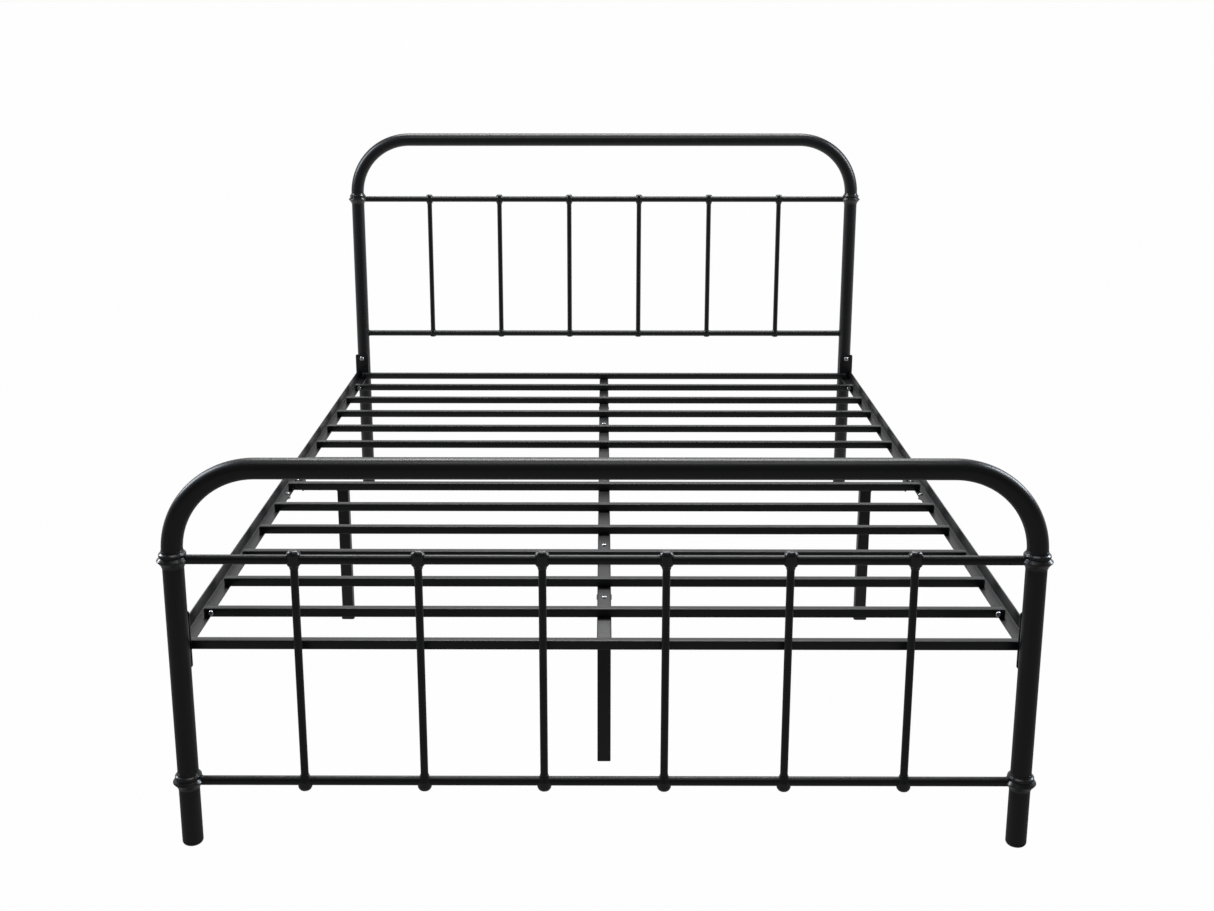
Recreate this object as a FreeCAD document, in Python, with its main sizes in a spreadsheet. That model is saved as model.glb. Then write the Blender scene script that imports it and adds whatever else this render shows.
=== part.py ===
import FreeCAD, Part

import os
import re

import Sketcher
from FreeCAD import Placement, Rotation, Vector

# Metal bed frame for a full-size mattress, as an assembly of separate pieces in millimetres.
#
# The frame stands on the floor at Z = 0. X runs across the bed, to the right as seen from the foot.
# Y runs from the foot to the head. The origin is on the floor at the middle of the frame. Both side
# rails, with everything bolted to them, are alike at the four corners, so one corner is modelled, the
# right one at the foot, and mirrored.

# --- driving sizes ----------------------------------------------------------------------------

SIZES = {
    # whole frame, between the centre lines of the post tubes
    "post_span": 1400,
    "frame_length": 1950,
    # heights of tube centre lines above the floor
    "head_arch_height": 1030,
    "head_lower_height": 474,
    "foot_arch_height": 666,
    "foot_lower_height": 117,
    # tubes of the two boards
    "post_dia": 35,
    "post_wall": 1.5,
    "head_bend": 151,
    "foot_bend": 141,
    "head_rail_drop": 16,
    "foot_rail_drop": 13,
    "rail_dia": 16,
    "rail_wall": 1.2,
    "spindle_dia": 13,
    "spindle_wall": 1,
    "head_spindle_pitch": 198.5,
    "foot_spindle_pitch": 201.5,
    # cast collars round the posts, measured from the rail's centre line
    "collar_proud": 9,
    "collar_ring_proud": 4,
    "collar_groove_proud": 3.4,
    "collar_lip": 1.2,
    "collar_rise": 17,
    "collar_ring_rise": 9,
    "collar_groove_rise": 5.5,
    "collar_drop": 13,
    # cast knuckles where spindles meet rails, measured from the rail's centre line
    "knuckle_dia": 24,
    "knuckle_rise": 16,
    "knuckle_drop": 16,
    "ball_sink": 5,
    "ball_neck_rise": 12,
    "bead_dia": 20,
    "bead_rise": 13,
    "bead_drop": 14,
    "swell_dia": 20,
    "swell_half": 10,
    "casting_lip": 0.8,
    # feet of the posts
    "foot_thick": 8,
    "foot_edge": 7,
    "plug_depth": 22,
    # steel angle side rails; the slats rest on their inward flanges
    "slat_rest": 345,
    "angle_leg": 25,
    "angle_wall": 2.5,
    "angle_root": 2.5,
    "angle_offset": 16,
    "halves_gap": 1,
    # plates that bolt the rails to the posts
    "plate_wall": 3,
    "plate_wide": 36,
    "plate_offset": 3,
    "plate_low": 314,
    "plate_high": 414,
    "plate_corner": 4,
    "post_bolt_low": 325,
    "post_bolt_high": 402,
    "post_bolt_dia": 8,
    "post_head_dia": 13,
    "post_head_high": 4,
    "insert_dia": 12,
    "insert_deep": 15,
    "spare_hole_dia": 6,
    "spare_hole_height": 379,
    "spare_hole_inset": 8,
    # splice of the two halves of each side rail
    "splice_half": 150,
    "splice_wall": 3,
    "splice_margin": 1.5,
    "splice_inset": 6,
    "splice_near": 28,
    "splice_far_gap": 32.5,
    # slats
    "slat_high": 16,
    "slat_deep": 16,
    "slat_wall": 1.2,
    "slat_corner": 2,
    "slat_gap": 12.5,
    "end_clearance": 0.5,
    "first_pitch": 136.5,
    "middle_gap": 189,
    "plug_head": 3,
    "plug_tongue": 14,
    "peg_wide": 8,
    "peg_drop": 6,
    # tie bolts through the slats and the ears on the rails
    "tie_inset": 10,
    "ear_wall": 2.5,
    "ear_wide": 16,
    "washer_dia": 13,
    "washer_wall": 1,
    # small bolts and nuts
    "small_bolt_dia": 6,
    "small_head_dia": 10,
    "small_head_high": 3,
    "nut_round": 11.5,
    "nut_high": 5,
    "thread_end": 1.5,
    # crossbar and beam tube, leg tube, hangers, middle legs and their feet
    "bar_side": 25,
    "bar_high": 15,
    "bar_wall": 1.2,
    "bar_corner": 2.5,
    "bar_end_gap": 5,
    "hanger_wall": 3,
    "hanger_wide": 80,
    "hanger_tab": 31,
    "middle_leg_inset": 102.5,
    "shoe_side": 30,
    "shoe_high": 22,
    "shoe_floor": 3,
    "shoe_edge": 2.5,
    # centre beam, its sleeve and the centre legs
    "beam_foot_inset": 66,
    "beam_head_inset": 16,
    "beam_joint": 70,
    "sleeve_half": 100,
    "sleeve_bolt_gap": 45.5,
    "strap_wall": 3,
    "strap_margin": 14,
    "leg_shift": 11.5,
    "leg_bolt_gap": 47,
    "end_cap": 2,
    # clearances
    "running_fit": 0.3,
    "hole_fit": 0.5,
}

SPINDLES = 6
SLATS_A_HALF = 7

# Sizes worked out from the driving ones, as formulas over their names. Places along Y are distances
# from the middle of the frame.
DERIVED = {
    "half_span": "post_span / 2",
    "half_length": "frame_length / 2",
    "post_radius": "post_dia / 2",
    # side rails
    "rail_outer": "half_span + angle_offset",
    "rail_inner": "rail_outer - angle_leg",
    "upright_inner": "rail_outer - angle_wall",
    "flange_under": "slat_rest - angle_wall",
    "plate_middle": "half_span + plate_offset",
    "plate_back": "half_length - post_radius",
    "plate_face": "plate_back - plate_wall",
    "splice_across": "rail_inner + splice_inset",
    "splice_under": "flange_under - splice_wall",
    "splice_far": "middle_gap / 2 + splice_far_gap",
    # slats
    "plug_end": "upright_inner - slat_gap",
    "slat_end": "plug_end - plug_head",
    "slat_middle_height": "slat_rest + slat_high / 2",
    "end_row": "plate_face - end_clearance - slat_deep / 2",
    "tie_row": "end_row - first_pitch",
    "slat_pitch": f"(tie_row - middle_gap / 2) / {SLATS_A_HALF - 2}",
    "tie_across": "slat_end - tie_inset",
    "tie_front": "tie_row + slat_deep / 2",
    "ear_face": "tie_row - slat_deep / 2",
    "small_hole": "small_bolt_dia + hole_fit",
    # crossbar, beam and legs
    "beam_low": "slat_rest - bar_high",
    "bar_low": "beam_low - bar_high",
    "bar_end": "rail_inner - bar_end_gap",
    "hanger_under": "splice_under - hanger_wall",
    "bar_bore": "bar_side - 2 * bar_wall - 2 * running_fit",
    "bar_bore_high": "bar_high - 2 * bar_wall - 2 * running_fit",
    "middle_leg_across": "half_span - middle_leg_inset",
    "strap_under": "beam_low - strap_wall",
    "leg_row": "tie_row - slat_pitch + leg_shift",
    "leg_bolt_near": "leg_row + leg_bolt_gap",
    "leg_bolt_far": "tie_row - 2.5 * slat_pitch",
    "sleeve_bolt": "middle_gap / 2 + sleeve_bolt_gap",
}

# --- document and helpers -----------------------------------------------------------------------

RIGHT = Vector(1, 0, 0)
TO_HEAD = Vector(0, 1, 0)
TO_FOOT = Vector(0, -1, 0)
UP = Vector(0, 0, 1)
DOWN = Vector(0, 0, -1)

document = FreeCAD.newDocument("MetalBedFrame")
sheet = document.addObject("Spreadsheet::Sheet", "Sizes")
for row, (size_name, number) in enumerate(SIZES.items(), start=1):
    sheet.set(f"A{row}", str(number))
    sheet.setAlias(f"A{row}", size_name)
document.recompute()

nodes = []


def expand(formula):
    """Write a formula over size names as a formula over the sheet's cells."""

    def cell(match):
        word = match.group()
        if word in DERIVED:
            return f"({expand(DERIVED[word])})"
        return f"Sizes.{word}"

    return re.sub("[a-z_]+", cell, str(formula))


def value(formula):
    """The number that a formula over size names gives now."""
    return float(sheet.evalExpression(expand(formula)))


def bind(item, **formulas):
    """Tie properties of an object to formulas over size names."""
    for name, formula in formulas.items():
        item.setExpression(name, expand(formula))
    return item


def place(item, across, along, height, axis=None):
    """Tie an object's place to formulas, and turn its Z axis to another direction if one is given."""
    if axis is not None:
        item.Placement = Placement(Vector(), Rotation(UP, axis))
    for letter, formula in zip("xyz", (across, along, height)):
        item.setExpression(f"Placement.Base.{letter}", expand(formula))
    return item


def node(label, item):
    """Name a finished piece, or group of like pieces, for writing out."""
    item.Label = label
    nodes.append(item)
    return item


def box(name, corner, size):
    """A block, from its lowest corner and its size along X, Y and Z."""
    block = document.addObject("Part::Box", name)
    bind(block, Length=size[0], Width=size[1], Height=size[2])
    return place(block, *corner)


def rod(name, start, axis, diameter, length):
    """A round bar from a start point along an axis."""
    bar = document.addObject("Part::Cylinder", name)
    bind(bar, Radius=f"({diameter}) / 2", Height=length)
    return place(bar, *start, axis)


def union(name, pieces):
    """One solid from pieces that meet or overlap."""
    joined = document.addObject("Part::MultiFuse", name)
    joined.Shapes = pieces
    return joined


def cut(name, base, tools):
    """The base with the tools taken out of it."""
    result = document.addObject("Part::Cut", name)
    result.Base = base
    result.Tool = tools[0] if len(tools) == 1 else union(f"{name}_tools", tools)
    return result


def group(name, pieces):
    """Separate solids held together as one object."""
    together = document.addObject("Part::Compound", name)
    together.Links = pieces
    return together


def mirror(name, source, normal):
    """The source mirrored in a plane through the middle of the frame."""
    image = document.addObject("Part::Mirroring", name)
    image.Source = source
    image.Normal = normal
    return image


def two_ends(name, source):
    """The source at the foot and its image at the head."""
    return group(name, [source, mirror(f"{name}_head", source, TO_HEAD)])


def two_sides(name, source):
    """The source on the right and its image on the left."""
    return group(name, [source, mirror(f"{name}_left", source, RIGHT)])


def four_corners(name, source):
    """The source and its images at all four corners."""
    return two_ends(name, two_sides(f"{name}_side", source))


def tube(name, start, axis, diameter, wall, length):
    """A round tube from a start point along an axis."""
    outside = rod(f"{name}_outside", start, axis, diameter, length)
    bore = rod(f"{name}_bore", start, axis, f"{diameter} - 2 * {wall}", length)
    return cut(name, outside, [bore])


def copies(name, source, spots, axis=UP):
    """Copies of a piece that is modelled at the origin, each at its own spot."""
    placed = []
    for index, spot in enumerate(spots, start=1):
        link = document.addObject("App::Link", f"{name}_{index}")
        link.LinkedObject = source
        placed.append(place(link, *spot, axis))
    return placed


# --- sketches and bodies --------------------------------------------------------------------------


def new_sketch(body, name, role):
    """An empty sketch in one of the body's own origin planes."""
    plane = next(item for item in body.Origin.OriginFeatures if item.Role == role)
    drawing = body.newObject("Sketcher::SketchObject", name)
    drawing.AttachmentSupport = [(plane, "")]
    drawing.MapMode = "FlatFace"
    return drawing


def constrain(drawing, kind, *where, formula):
    """Add a dimension to a sketch and tie it to a formula."""
    index = drawing.addConstraint(Sketcher.Constraint(kind, *where, value(formula)))
    drawing.setExpression(f"Constraints[{index}]", expand(formula))


def fix_point(drawing, geometry, end, across, up):
    """Hold one end of a line or arc at a place given by two formulas."""
    vertical_axis, horizontal_axis = -2, -1
    for kind, formula, line in (("DistanceX", across, vertical_axis), ("DistanceY", up, horizontal_axis)):
        if formula == "0":
            drawing.addConstraint(Sketcher.Constraint("PointOnObject", geometry, end, line))
        else:
            constrain(drawing, kind, -1, 1, geometry, end, formula=formula)


def add_arc(drawing, begin, end, radius):
    """Add the short arc between two points; a positive radius turns left, a negative one right."""
    chord = end - begin
    to_left = Vector(-chord.y, chord.x, 0).normalize()
    depth = max(radius**2 - (chord.Length / 2) ** 2, 0) ** 0.5
    middle = (begin + end) * 0.5
    centre = middle + to_left * depth if radius > 0 else middle - to_left * depth
    first, last = (begin, end) if radius > 0 else (end, begin)
    angles = [RIGHT.getAngle(spot - centre) * (1 if spot.y >= centre.y else -1) for spot in (first, last)]
    circle = Part.Circle(centre, UP, abs(radius))
    return drawing.addGeometry(Part.ArcOfCircle(circle, *angles), False)


def draw(drawing, points, closed=True):
    """Draw an outline or an open path through points given as formulas.

    A point is (across, up) or (across, up, radius). A radius makes the side that ends there an arc.
    """
    spots = [Vector(value(point[0]), value(point[1]), 0) for point in points]
    count = len(points)
    sides = []
    for index in range(count if closed else count - 1):
        after = (index + 1) % count
        radius = points[after][2] if len(points[after]) > 2 else None
        if radius is None:
            line = Part.LineSegment(spots[index], spots[after])
            sides.append((drawing.addGeometry(line, False), 1, 2))
            continue
        turn = value(radius)
        geometry = add_arc(drawing, spots[index], spots[after], turn)
        sides.append((geometry, 1, 2) if turn > 0 else (geometry, 2, 1))
        constrain(drawing, "Radius", geometry, formula=radius if turn > 0 else f"-({radius})")
    for index, (geometry, start, _) in enumerate(sides):
        fix_point(drawing, geometry, start, *points[index][:2])
        if closed or index > 0:
            before, _, end = sides[index - 1]
            drawing.addConstraint(Sketcher.Constraint("Coincident", before, end, geometry, start))
    if not closed:
        geometry, _, end = sides[-1]
        fix_point(drawing, geometry, end, *points[-1][:2])


def rounded(wide, high, corner):
    """The points of a rectangle round the origin with rounded corners."""
    x_far, y_far = f"({wide}) / 2", f"({high}) / 2"
    x_near, y_near = f"({x_far} - ({corner}))", f"({y_far} - ({corner}))"
    return [
        (f"-{x_near}", f"-{y_far}"),
        (x_near, f"-{y_far}"),
        (x_far, f"-{y_near}", corner),
        (x_far, y_near),
        (x_near, y_far, corner),
        (f"-{x_near}", y_far),
        (f"-{x_far}", y_near, corner),
        (f"-{x_far}", f"-{y_near}"),
        (f"-{x_near}", f"-{y_far}", corner),
    ][1:]


def padded(name, role, outlines, length):
    """A body that carries outlines from its plane along +X, +Y or +Z; an inner outline is a bore."""
    body = document.addObject("PartDesign::Body", name)
    drawing = new_sketch(body, f"{name}_section", role)
    for outline in outlines:
        draw(drawing, outline)
    pad = body.newObject("PartDesign::Pad", f"{name}_pad")
    pad.Profile = drawing
    pad.Reversed = role == "XZ_Plane"
    bind(pad, Length=length)
    return body


def hollow_bar(name, role, section, wall, corner, length):
    """A tube of rectangular section from its plane along +X, +Y or +Z, centred on the body's origin."""
    inside = [f"{side} - 2 * {wall}" for side in section]
    outlines = [rounded(*section, corner), rounded(*inside, f"{corner} - {wall}")]
    return padded(name, role, outlines, length)


def square_bar(name, length):
    """An upright square tube of the legs' section."""
    return hollow_bar(name, "XY_Plane", ("bar_side", "bar_side"), "bar_wall", "bar_corner", length)


def flat_bar(name, role, length):
    """A level tube of the beam's and the crossbar's section."""
    return hollow_bar(name, role, ("bar_side", "bar_high"), "bar_wall", "bar_corner", length)


def turned(name, points, repeats=1, reach=None):
    """A body of revolution about Z, repeated evenly along +X over a reach."""
    body = document.addObject("PartDesign::Body", name)
    drawing = new_sketch(body, f"{name}_profile", "XZ_Plane")
    draw(drawing, points)
    turning = body.newObject("PartDesign::Revolution", f"{name}_turning")
    turning.Profile = drawing
    turning.ReferenceAxis = (drawing, ["V_Axis"])
    turning.Angle = 360
    if repeats > 1:
        body.AllowCompound = True
        pattern = body.newObject("PartDesign::LinearPattern", f"{name}_row")
        pattern.Originals = [turning]
        pattern.Direction = (drawing, ["H_Axis"])
        pattern.Occurrences = repeats
        bind(pattern, Length=reach)
        body.Tip = pattern
    return body


def bent_tube(name, plane, height, bend, diameters):
    """An arch in one plane: two posts, two quarter bends and a straight top; two diameters give a tube."""
    body = document.addObject("PartDesign::Body", name)
    top = f"{height} - foot_thick"
    shoulder = f"{height} - {bend} - foot_thick"
    path = new_sketch(body, f"{name}_path", "XZ_Plane")
    line = [
        ("-half_span", "0"),
        ("-half_span", shoulder),
        (f"{bend} - half_span", top, f"-{bend}"),
        (f"half_span - {bend}", top),
        ("half_span", shoulder, f"-{bend}"),
        ("half_span", "0"),
    ]
    draw(path, line, closed=False)
    section = new_sketch(body, f"{name}_section", "XY_Plane")
    for diameter in diameters:
        circle = Part.Circle(Vector(value("-half_span"), 0, 0), UP, value(diameter) / 2)
        geometry = section.addGeometry(circle, False)
        fix_point(section, geometry, 3, "-half_span", "0")
        constrain(section, "Diameter", geometry, formula=diameter)
    pipe = body.newObject("PartDesign::AdditivePipe", f"{name}_pipe")
    pipe.Profile = section
    pipe.Spine = path
    return place(body, "0", plane, "foot_thick")


# --- headboard and footboard ----------------------------------------------------------------------

POST_BOLT_HEIGHTS = ("post_bolt_low", "post_bolt_high")


def insert_spots():
    """Where the inserts start in the foot posts on the right: against the end plate."""
    return [("plate_middle", "-plate_back", height) for height in POST_BOLT_HEIGHTS]


def insert_holes(name, plane):
    """Cutters for the holes that the threaded inserts fill, in both posts of one board."""
    holes = []
    for index, height in enumerate(POST_BOLT_HEIGHTS):
        for side, across in (("left", "-plate_middle"), ("right", "plate_middle")):
            start = (across, f"{plane} - post_radius" if plane == "half_length" else plane, height)
            holes.append(rod(f"{name}_{side}_{index}", start, TO_HEAD, "insert_dia", "post_radius"))
    return holes


def collar_bores(name, plane, upper, drop, bend):
    """Cutters for the collars' bores, eased inwards where the tube's bend starts inside the upper ones."""
    above = f"(collar_rise - {drop})"
    ease = f"{above} * {above} / (2 * {bend})"
    bores = []
    for side, sign in (("left", "-"), ("right", "")):
        foot = (f"{sign}half_span", plane, "foot_thick")
        bores.append(rod(f"{name}_{side}", foot, UP, "post_dia", f"{upper} + collar_rise"))
        bend_start = (f"{sign}(half_span - {ease})", plane, f"{upper} + {drop}")
        bores.append(rod(f"{name}_{side}_ease", bend_start, UP, "post_dia", "collar_rise"))
    return bores


def collars(name, plane, height, cutters):
    """Two cast collars on the posts: a ring above, a groove, a pointed rim and a taper below."""
    profile = [
        ("0", "-collar_drop"),
        ("post_radius + collar_lip", "-collar_drop"),
        ("post_radius + collar_proud", "0"),
        ("post_radius + collar_groove_proud", "collar_groove_rise"),
        ("post_radius + collar_ring_proud", "collar_ring_rise"),
        ("post_radius + collar_lip", "collar_rise"),
        ("0", "collar_rise"),
    ]
    blanks = place(turned(f"{name}_blanks", profile, 2, "post_span"), "-half_span", plane, height)
    return node(name, cut(name, blanks, cutters))


def dome_knuckles(name, plane, height, pitch, cutters):
    """Castings with a round top above the rail and a skirt that narrows onto the spindle below."""
    radius = "knuckle_dia / 2"
    profile = [
        ("0", "-knuckle_drop"),
        ("spindle_dia / 2 + casting_lip", "-knuckle_drop"),
        (radius, "0"),
        (radius, f"knuckle_rise - {radius}"),
        ("0", "knuckle_rise", radius),
    ]
    return knuckles(name, profile, plane, height, pitch, cutters)


def ball_knuckles(name, plane, height, pitch, cutters):
    """Castings with a ball round the rail, a little below its centre line, and a neck above."""
    radius = "knuckle_dia / 2"
    profile = [
        ("0", f"-ball_sink - {radius}"),
        (radius, "-ball_sink", radius),
        ("spindle_dia / 2 + casting_lip", "ball_neck_rise"),
        ("0", "ball_neck_rise"),
    ]
    return knuckles(name, profile, plane, height, pitch, cutters)


def bead_knuckles(name, plane, height, pitch, cutters):
    """Small round beads that sit over the rail."""
    profile = [
        ("0", "-bead_drop"),
        ("spindle_dia / 2 + casting_lip", "-bead_drop"),
        ("bead_dia / 2", "0"),
        ("spindle_dia / 2", "bead_rise"),
        ("0", "bead_rise"),
    ]
    return knuckles(name, profile, plane, height, pitch, cutters)


def swell_knuckles(name, plane, height, pitch, cutters):
    """Slight swellings where the spindles end in the rail."""
    profile = [
        ("0", "-swell_half"),
        ("swell_dia / 2", "0"),
        ("spindle_dia / 2 + casting_lip", "swell_half"),
        ("0", "swell_half"),
    ]
    return knuckles(name, profile, plane, height, pitch, cutters)


def knuckles(name, profile, plane, height, pitch, cutters):
    """One casting at each spindle of a rail, bored for the rail and the spindle."""
    reach = f"{SPINDLES - 1} * {pitch}"
    blanks = turned(f"{name}_blanks", profile, SPINDLES, reach)
    place(blanks, f"-({reach}) / 2", plane, height)
    return node(name, cut(name, blanks, cutters))


def post_feet(name, plane):
    """Two plastic feet: a rounded tread under the post's end and a plug inside it."""
    plug = "post_radius - post_wall - running_fit"
    profile = [
        ("0", "0"),
        ("post_radius - foot_edge", "0"),
        ("post_radius", "foot_edge", "foot_edge"),
        ("post_radius", "foot_thick"),
        (plug, "foot_thick"),
        (plug, "foot_thick + plug_depth"),
        ("0", "foot_thick + plug_depth"),
    ]
    return node(name, place(turned(name, profile, 2, "post_span"), "-half_span", plane, "0"))


def board(name, plane, arch, bend, drop, lower, pitch, castings, collar_names):
    """One end of the bed: the bent tube, two rails, the spindles and their castings."""
    upper = f"({arch} - {bend} - {drop})"
    raw_arch = bent_tube(f"{name}_raw_arch", plane, arch, bend, ["post_dia", "post_dia - 2 * post_wall"])
    arch_solid = bent_tube(f"{name}_arch_solid", plane, arch, bend, ["post_dia"])
    node(f"{name}_arch_tube", cut(f"{name}_arch_tube", raw_arch, insert_holes(f"{name}_hole", plane)))

    rail_solids = []
    for level, height in (("upper", upper), ("lower", lower)):
        start = ("-half_span", plane, height)
        raw = tube(f"{name}_raw_{level}_rail", start, RIGHT, "rail_dia", "rail_wall", "post_span")
        rail_name = f"{name}_{level}_rail"
        node(rail_name, cut(rail_name, raw, [arch_solid]))
        rail_solids.append(rod(f"{name}_{level}_solid", start, RIGHT, "rail_dia", "post_span"))

    spindles = []
    spindle_solids = []
    for index in range(SPINDLES):
        start = (f"{index - (SPINDLES - 1) / 2} * {pitch}", plane, lower)
        reach = f"{upper} - {lower}"
        stem = f"{name}_spindle_{index + 1}"
        raw = tube(f"{stem}_raw", start, UP, "spindle_dia", "spindle_wall", reach)
        spindles.append(cut(stem, raw, rail_solids))
        spindle_solids.append(rod(f"{stem}_solid", start, UP, "spindle_dia", reach))
    node(f"{name}_spindles", group(f"{name}_spindles", spindles))

    for level, casting, solid, height in zip(("upper", "lower"), castings, rail_solids, (upper, lower)):
        casting(f"{name}_{level}_knuckles", plane, height, pitch, [solid, *spindle_solids])
    bores = collar_bores(f"{name}_bore", plane, upper, drop, bend)
    for collar_name, height, solid in zip(collar_names, (upper, lower), rail_solids):
        collars(f"{name}_{collar_name}", plane, height, [*bores, solid])
    post_feet(f"{name}_feet", plane)


board(
    "headboard",
    "half_length",
    "head_arch_height",
    "head_bend",
    "head_rail_drop",
    "head_lower_height",
    "head_spindle_pitch",
    (bead_knuckles, swell_knuckles),
    ("collars",),
)
board(
    "footboard",
    "-half_length",
    "foot_arch_height",
    "foot_bend",
    "foot_rail_drop",
    "foot_lower_height",
    "foot_spindle_pitch",
    (dome_knuckles, ball_knuckles),
    ("upper_collars", "lower_collars"),
)

# --- slats ------------------------------------------------------------------------------------------


def slat_rows():
    """Distances of the slats of one half from the middle of the frame, from the end inwards."""
    rows = ["end_row"]
    rows += [f"tie_row - {index} * slat_pitch" for index in range(SLATS_A_HALF - 1)]
    return rows


def build_slats():
    """Fourteen square tubes; the second from each end has holes for the tie bolts."""
    rows = slat_rows()
    places = [f"-({row})" for row in rows] + [f"{row}" for row in reversed(rows)]
    tied = (2, len(places) - 1)
    for number, along in enumerate(places, start=1):
        name = f"slat_{number:02d}"
        section = ("slat_deep", "slat_high")
        slat = hollow_bar(f"{name}_bar", "YZ_Plane", section, "slat_wall", "slat_corner", "2 * slat_end")
        place(slat, "-slat_end", along, "slat_middle_height")
        if number in tied:
            holes = []
            for side, across in (("left", "-tie_across"), ("right", "tie_across")):
                start = (across, f"{along} - slat_deep", "slat_middle_height")
                holes.append(rod(f"{name}_{side}_hole", start, TO_HEAD, "small_hole", "2 * slat_deep"))
            slat = cut(name, slat, holes)
        node(name, slat)


def build_slat_plugs():
    """Plastic plugs in the slats' ends, each with a peg that drops into the rail's flange."""
    less = "2 * slat_wall - 2 * running_fit"
    tongue_deep, tongue_high = f"(slat_deep - {less})", f"(slat_high - {less})"
    head = box(
        "slat_plug_head",
        ("slat_end", "-slat_deep / 2", "slat_rest"),
        ("plug_head", "slat_deep", "slat_high"),
    )
    tongue = box(
        "slat_plug_tongue",
        ("slat_end - plug_tongue", f"-{tongue_deep} / 2", "slat_rest + slat_wall + running_fit"),
        ("plug_tongue", tongue_deep, tongue_high),
    )
    peg = box(
        "slat_plug_peg",
        ("slat_end", "-peg_wide / 2", "slat_rest - peg_drop"),
        ("plug_head", "peg_wide", "peg_drop"),
    )
    plug = union("slat_plug", [head, tongue, peg])
    tie_hole = rod("tie_plug_hole", ("tie_across", "-slat_deep", "slat_middle_height"), TO_HEAD,
                   "small_hole", "2 * slat_deep")
    tie_plug = cut("tie_plug", plug, [tie_hole])
    rows = slat_rows()
    plain = [("0", f"-({row})", "0") for index, row in enumerate(rows) if index != 1]
    quarter = copies("slat_plug_copy", plug, plain)
    quarter += copies("tie_plug_copy", tie_plug, [("0", f"-({rows[1]})", "0")])
    node("slat_end_plugs", four_corners("slat_end_plugs", group("slat_plugs_quarter", quarter)))


def peg_slots(name, rows):
    """Cutters for the slots that the slats' pegs drop into, on the right at the foot."""
    slots = []
    for index, row in enumerate(rows):
        near = f"-({row}) - peg_wide / 2 - running_fit"
        corner = ("slat_end - running_fit", near, "slat_rest - 2 * peg_drop")
        size = ("plug_head + 2 * running_fit", "peg_wide + 2 * running_fit", "3 * peg_drop")
        slots.append(box(f"{name}_{index}", corner, size))
    return slots


build_slats()
build_slat_plugs()

# --- side rails, end plates and splices -------------------------------------------------------------


def splice_holes(name, start_height, rows):
    """Cutters for the splice bolts on the right at the foot."""
    holes = []
    for index, row in enumerate(rows):
        start = ("splice_across", f"-({row})", start_height)
        holes.append(rod(f"{name}_{index}", start, DOWN, "small_hole", "4 * splice_wall + 2 * angle_wall"))
    return holes


def build_side_rails():
    """Steel angles, flange inwards, two halves a side, each with one ear for a tie bolt."""
    section = [
        ("rail_inner", "flange_under"),
        ("rail_outer", "flange_under"),
        ("rail_outer", "flange_under + angle_leg"),
        ("upright_inner", "flange_under + angle_leg"),
        ("upright_inner", "slat_rest + angle_root"),
        ("upright_inner - angle_root", "slat_rest", "-angle_root"),
        ("rail_inner", "slat_rest"),
    ]
    angle = padded("rail_angle", "XZ_Plane", [section], "plate_face - halves_gap / 2")
    place(angle, "0", "-plate_face", "0")
    ear = box(
        "rail_ear",
        ("tie_across - ear_wide / 2", "-ear_face", "slat_rest"),
        ("ear_wide", "ear_wall", "slat_high"),
    )
    holes = splice_holes("rail_splice_hole", "slat_rest + angle_wall", ["splice_near", "splice_far"])
    tie_start = ("tie_across", "-ear_face - ear_wall", "slat_middle_height")
    holes.append(rod("rail_tie_hole", tie_start, TO_HEAD, "small_hole", "3 * ear_wall"))
    holes += peg_slots("rail_slot", slat_rows())
    rail = cut("rail_quarter", union("rail_with_ear", [angle, ear]), holes)
    head_rail = mirror("rail_head_quarter", rail, TO_HEAD)
    node("right_rail_foot_half", rail)
    node("right_rail_head_half", head_rail)
    node("left_rail_foot_half", mirror("left_foot_rail", rail, RIGHT))
    node("left_rail_head_half", mirror("left_head_rail", head_rail, RIGHT))


def build_end_plates():
    """Flat plates on the rails' ends, each with two bolt holes and one spare hole."""
    outline = rounded("plate_wide", "plate_high - plate_low", "plate_corner")
    blank = padded("end_plate_blank", "XZ_Plane", [outline], "plate_wall")
    place(blank, "plate_middle", "-plate_back", "(plate_low + plate_high) / 2")
    holes = []
    for index, height in enumerate(POST_BOLT_HEIGHTS):
        start = ("plate_middle", "-plate_back - plate_wall", height)
        holes.append(rod(f"plate_hole_{index}", start, TO_HEAD, "post_bolt_dia + hole_fit", "3 * plate_wall"))
    spare = ("plate_middle - spare_hole_inset", "-plate_back - plate_wall", "spare_hole_height")
    holes.append(rod("plate_spare_hole", spare, TO_HEAD, "spare_hole_dia", "3 * plate_wall"))
    plate = cut("end_plate", blank, holes)
    pair = two_sides("footboard_end_plates", plate)
    node("footboard_end_plates", pair)
    node("headboard_end_plates", mirror("headboard_end_plates", pair, TO_HEAD))


def build_splices():
    """Flat bars under the flanges that join the two halves of each side rail."""
    blank = box(
        "splice_blank",
        ("rail_inner + splice_margin", "-splice_half", "splice_under"),
        ("angle_leg - 2 * splice_margin", "2 * splice_half", "splice_wall"),
    )
    rows = ["splice_near", "splice_far", "-splice_near", "-(splice_far)"]
    holes = splice_holes("splice_hole", "slat_rest", rows)
    middle_rows = [slat_rows()[-1], f"-({slat_rows()[-1]})"]
    splice = cut("right_splice_bar", blank, holes + peg_slots("splice_slot", middle_rows))
    node("right_splice_bar", splice)
    node("left_splice_bar", mirror("left_splice_bar", splice, RIGHT))


build_side_rails()
build_end_plates()
build_splices()

# --- crossbar, centre beam and legs ------------------------------------------------------------------


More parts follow.
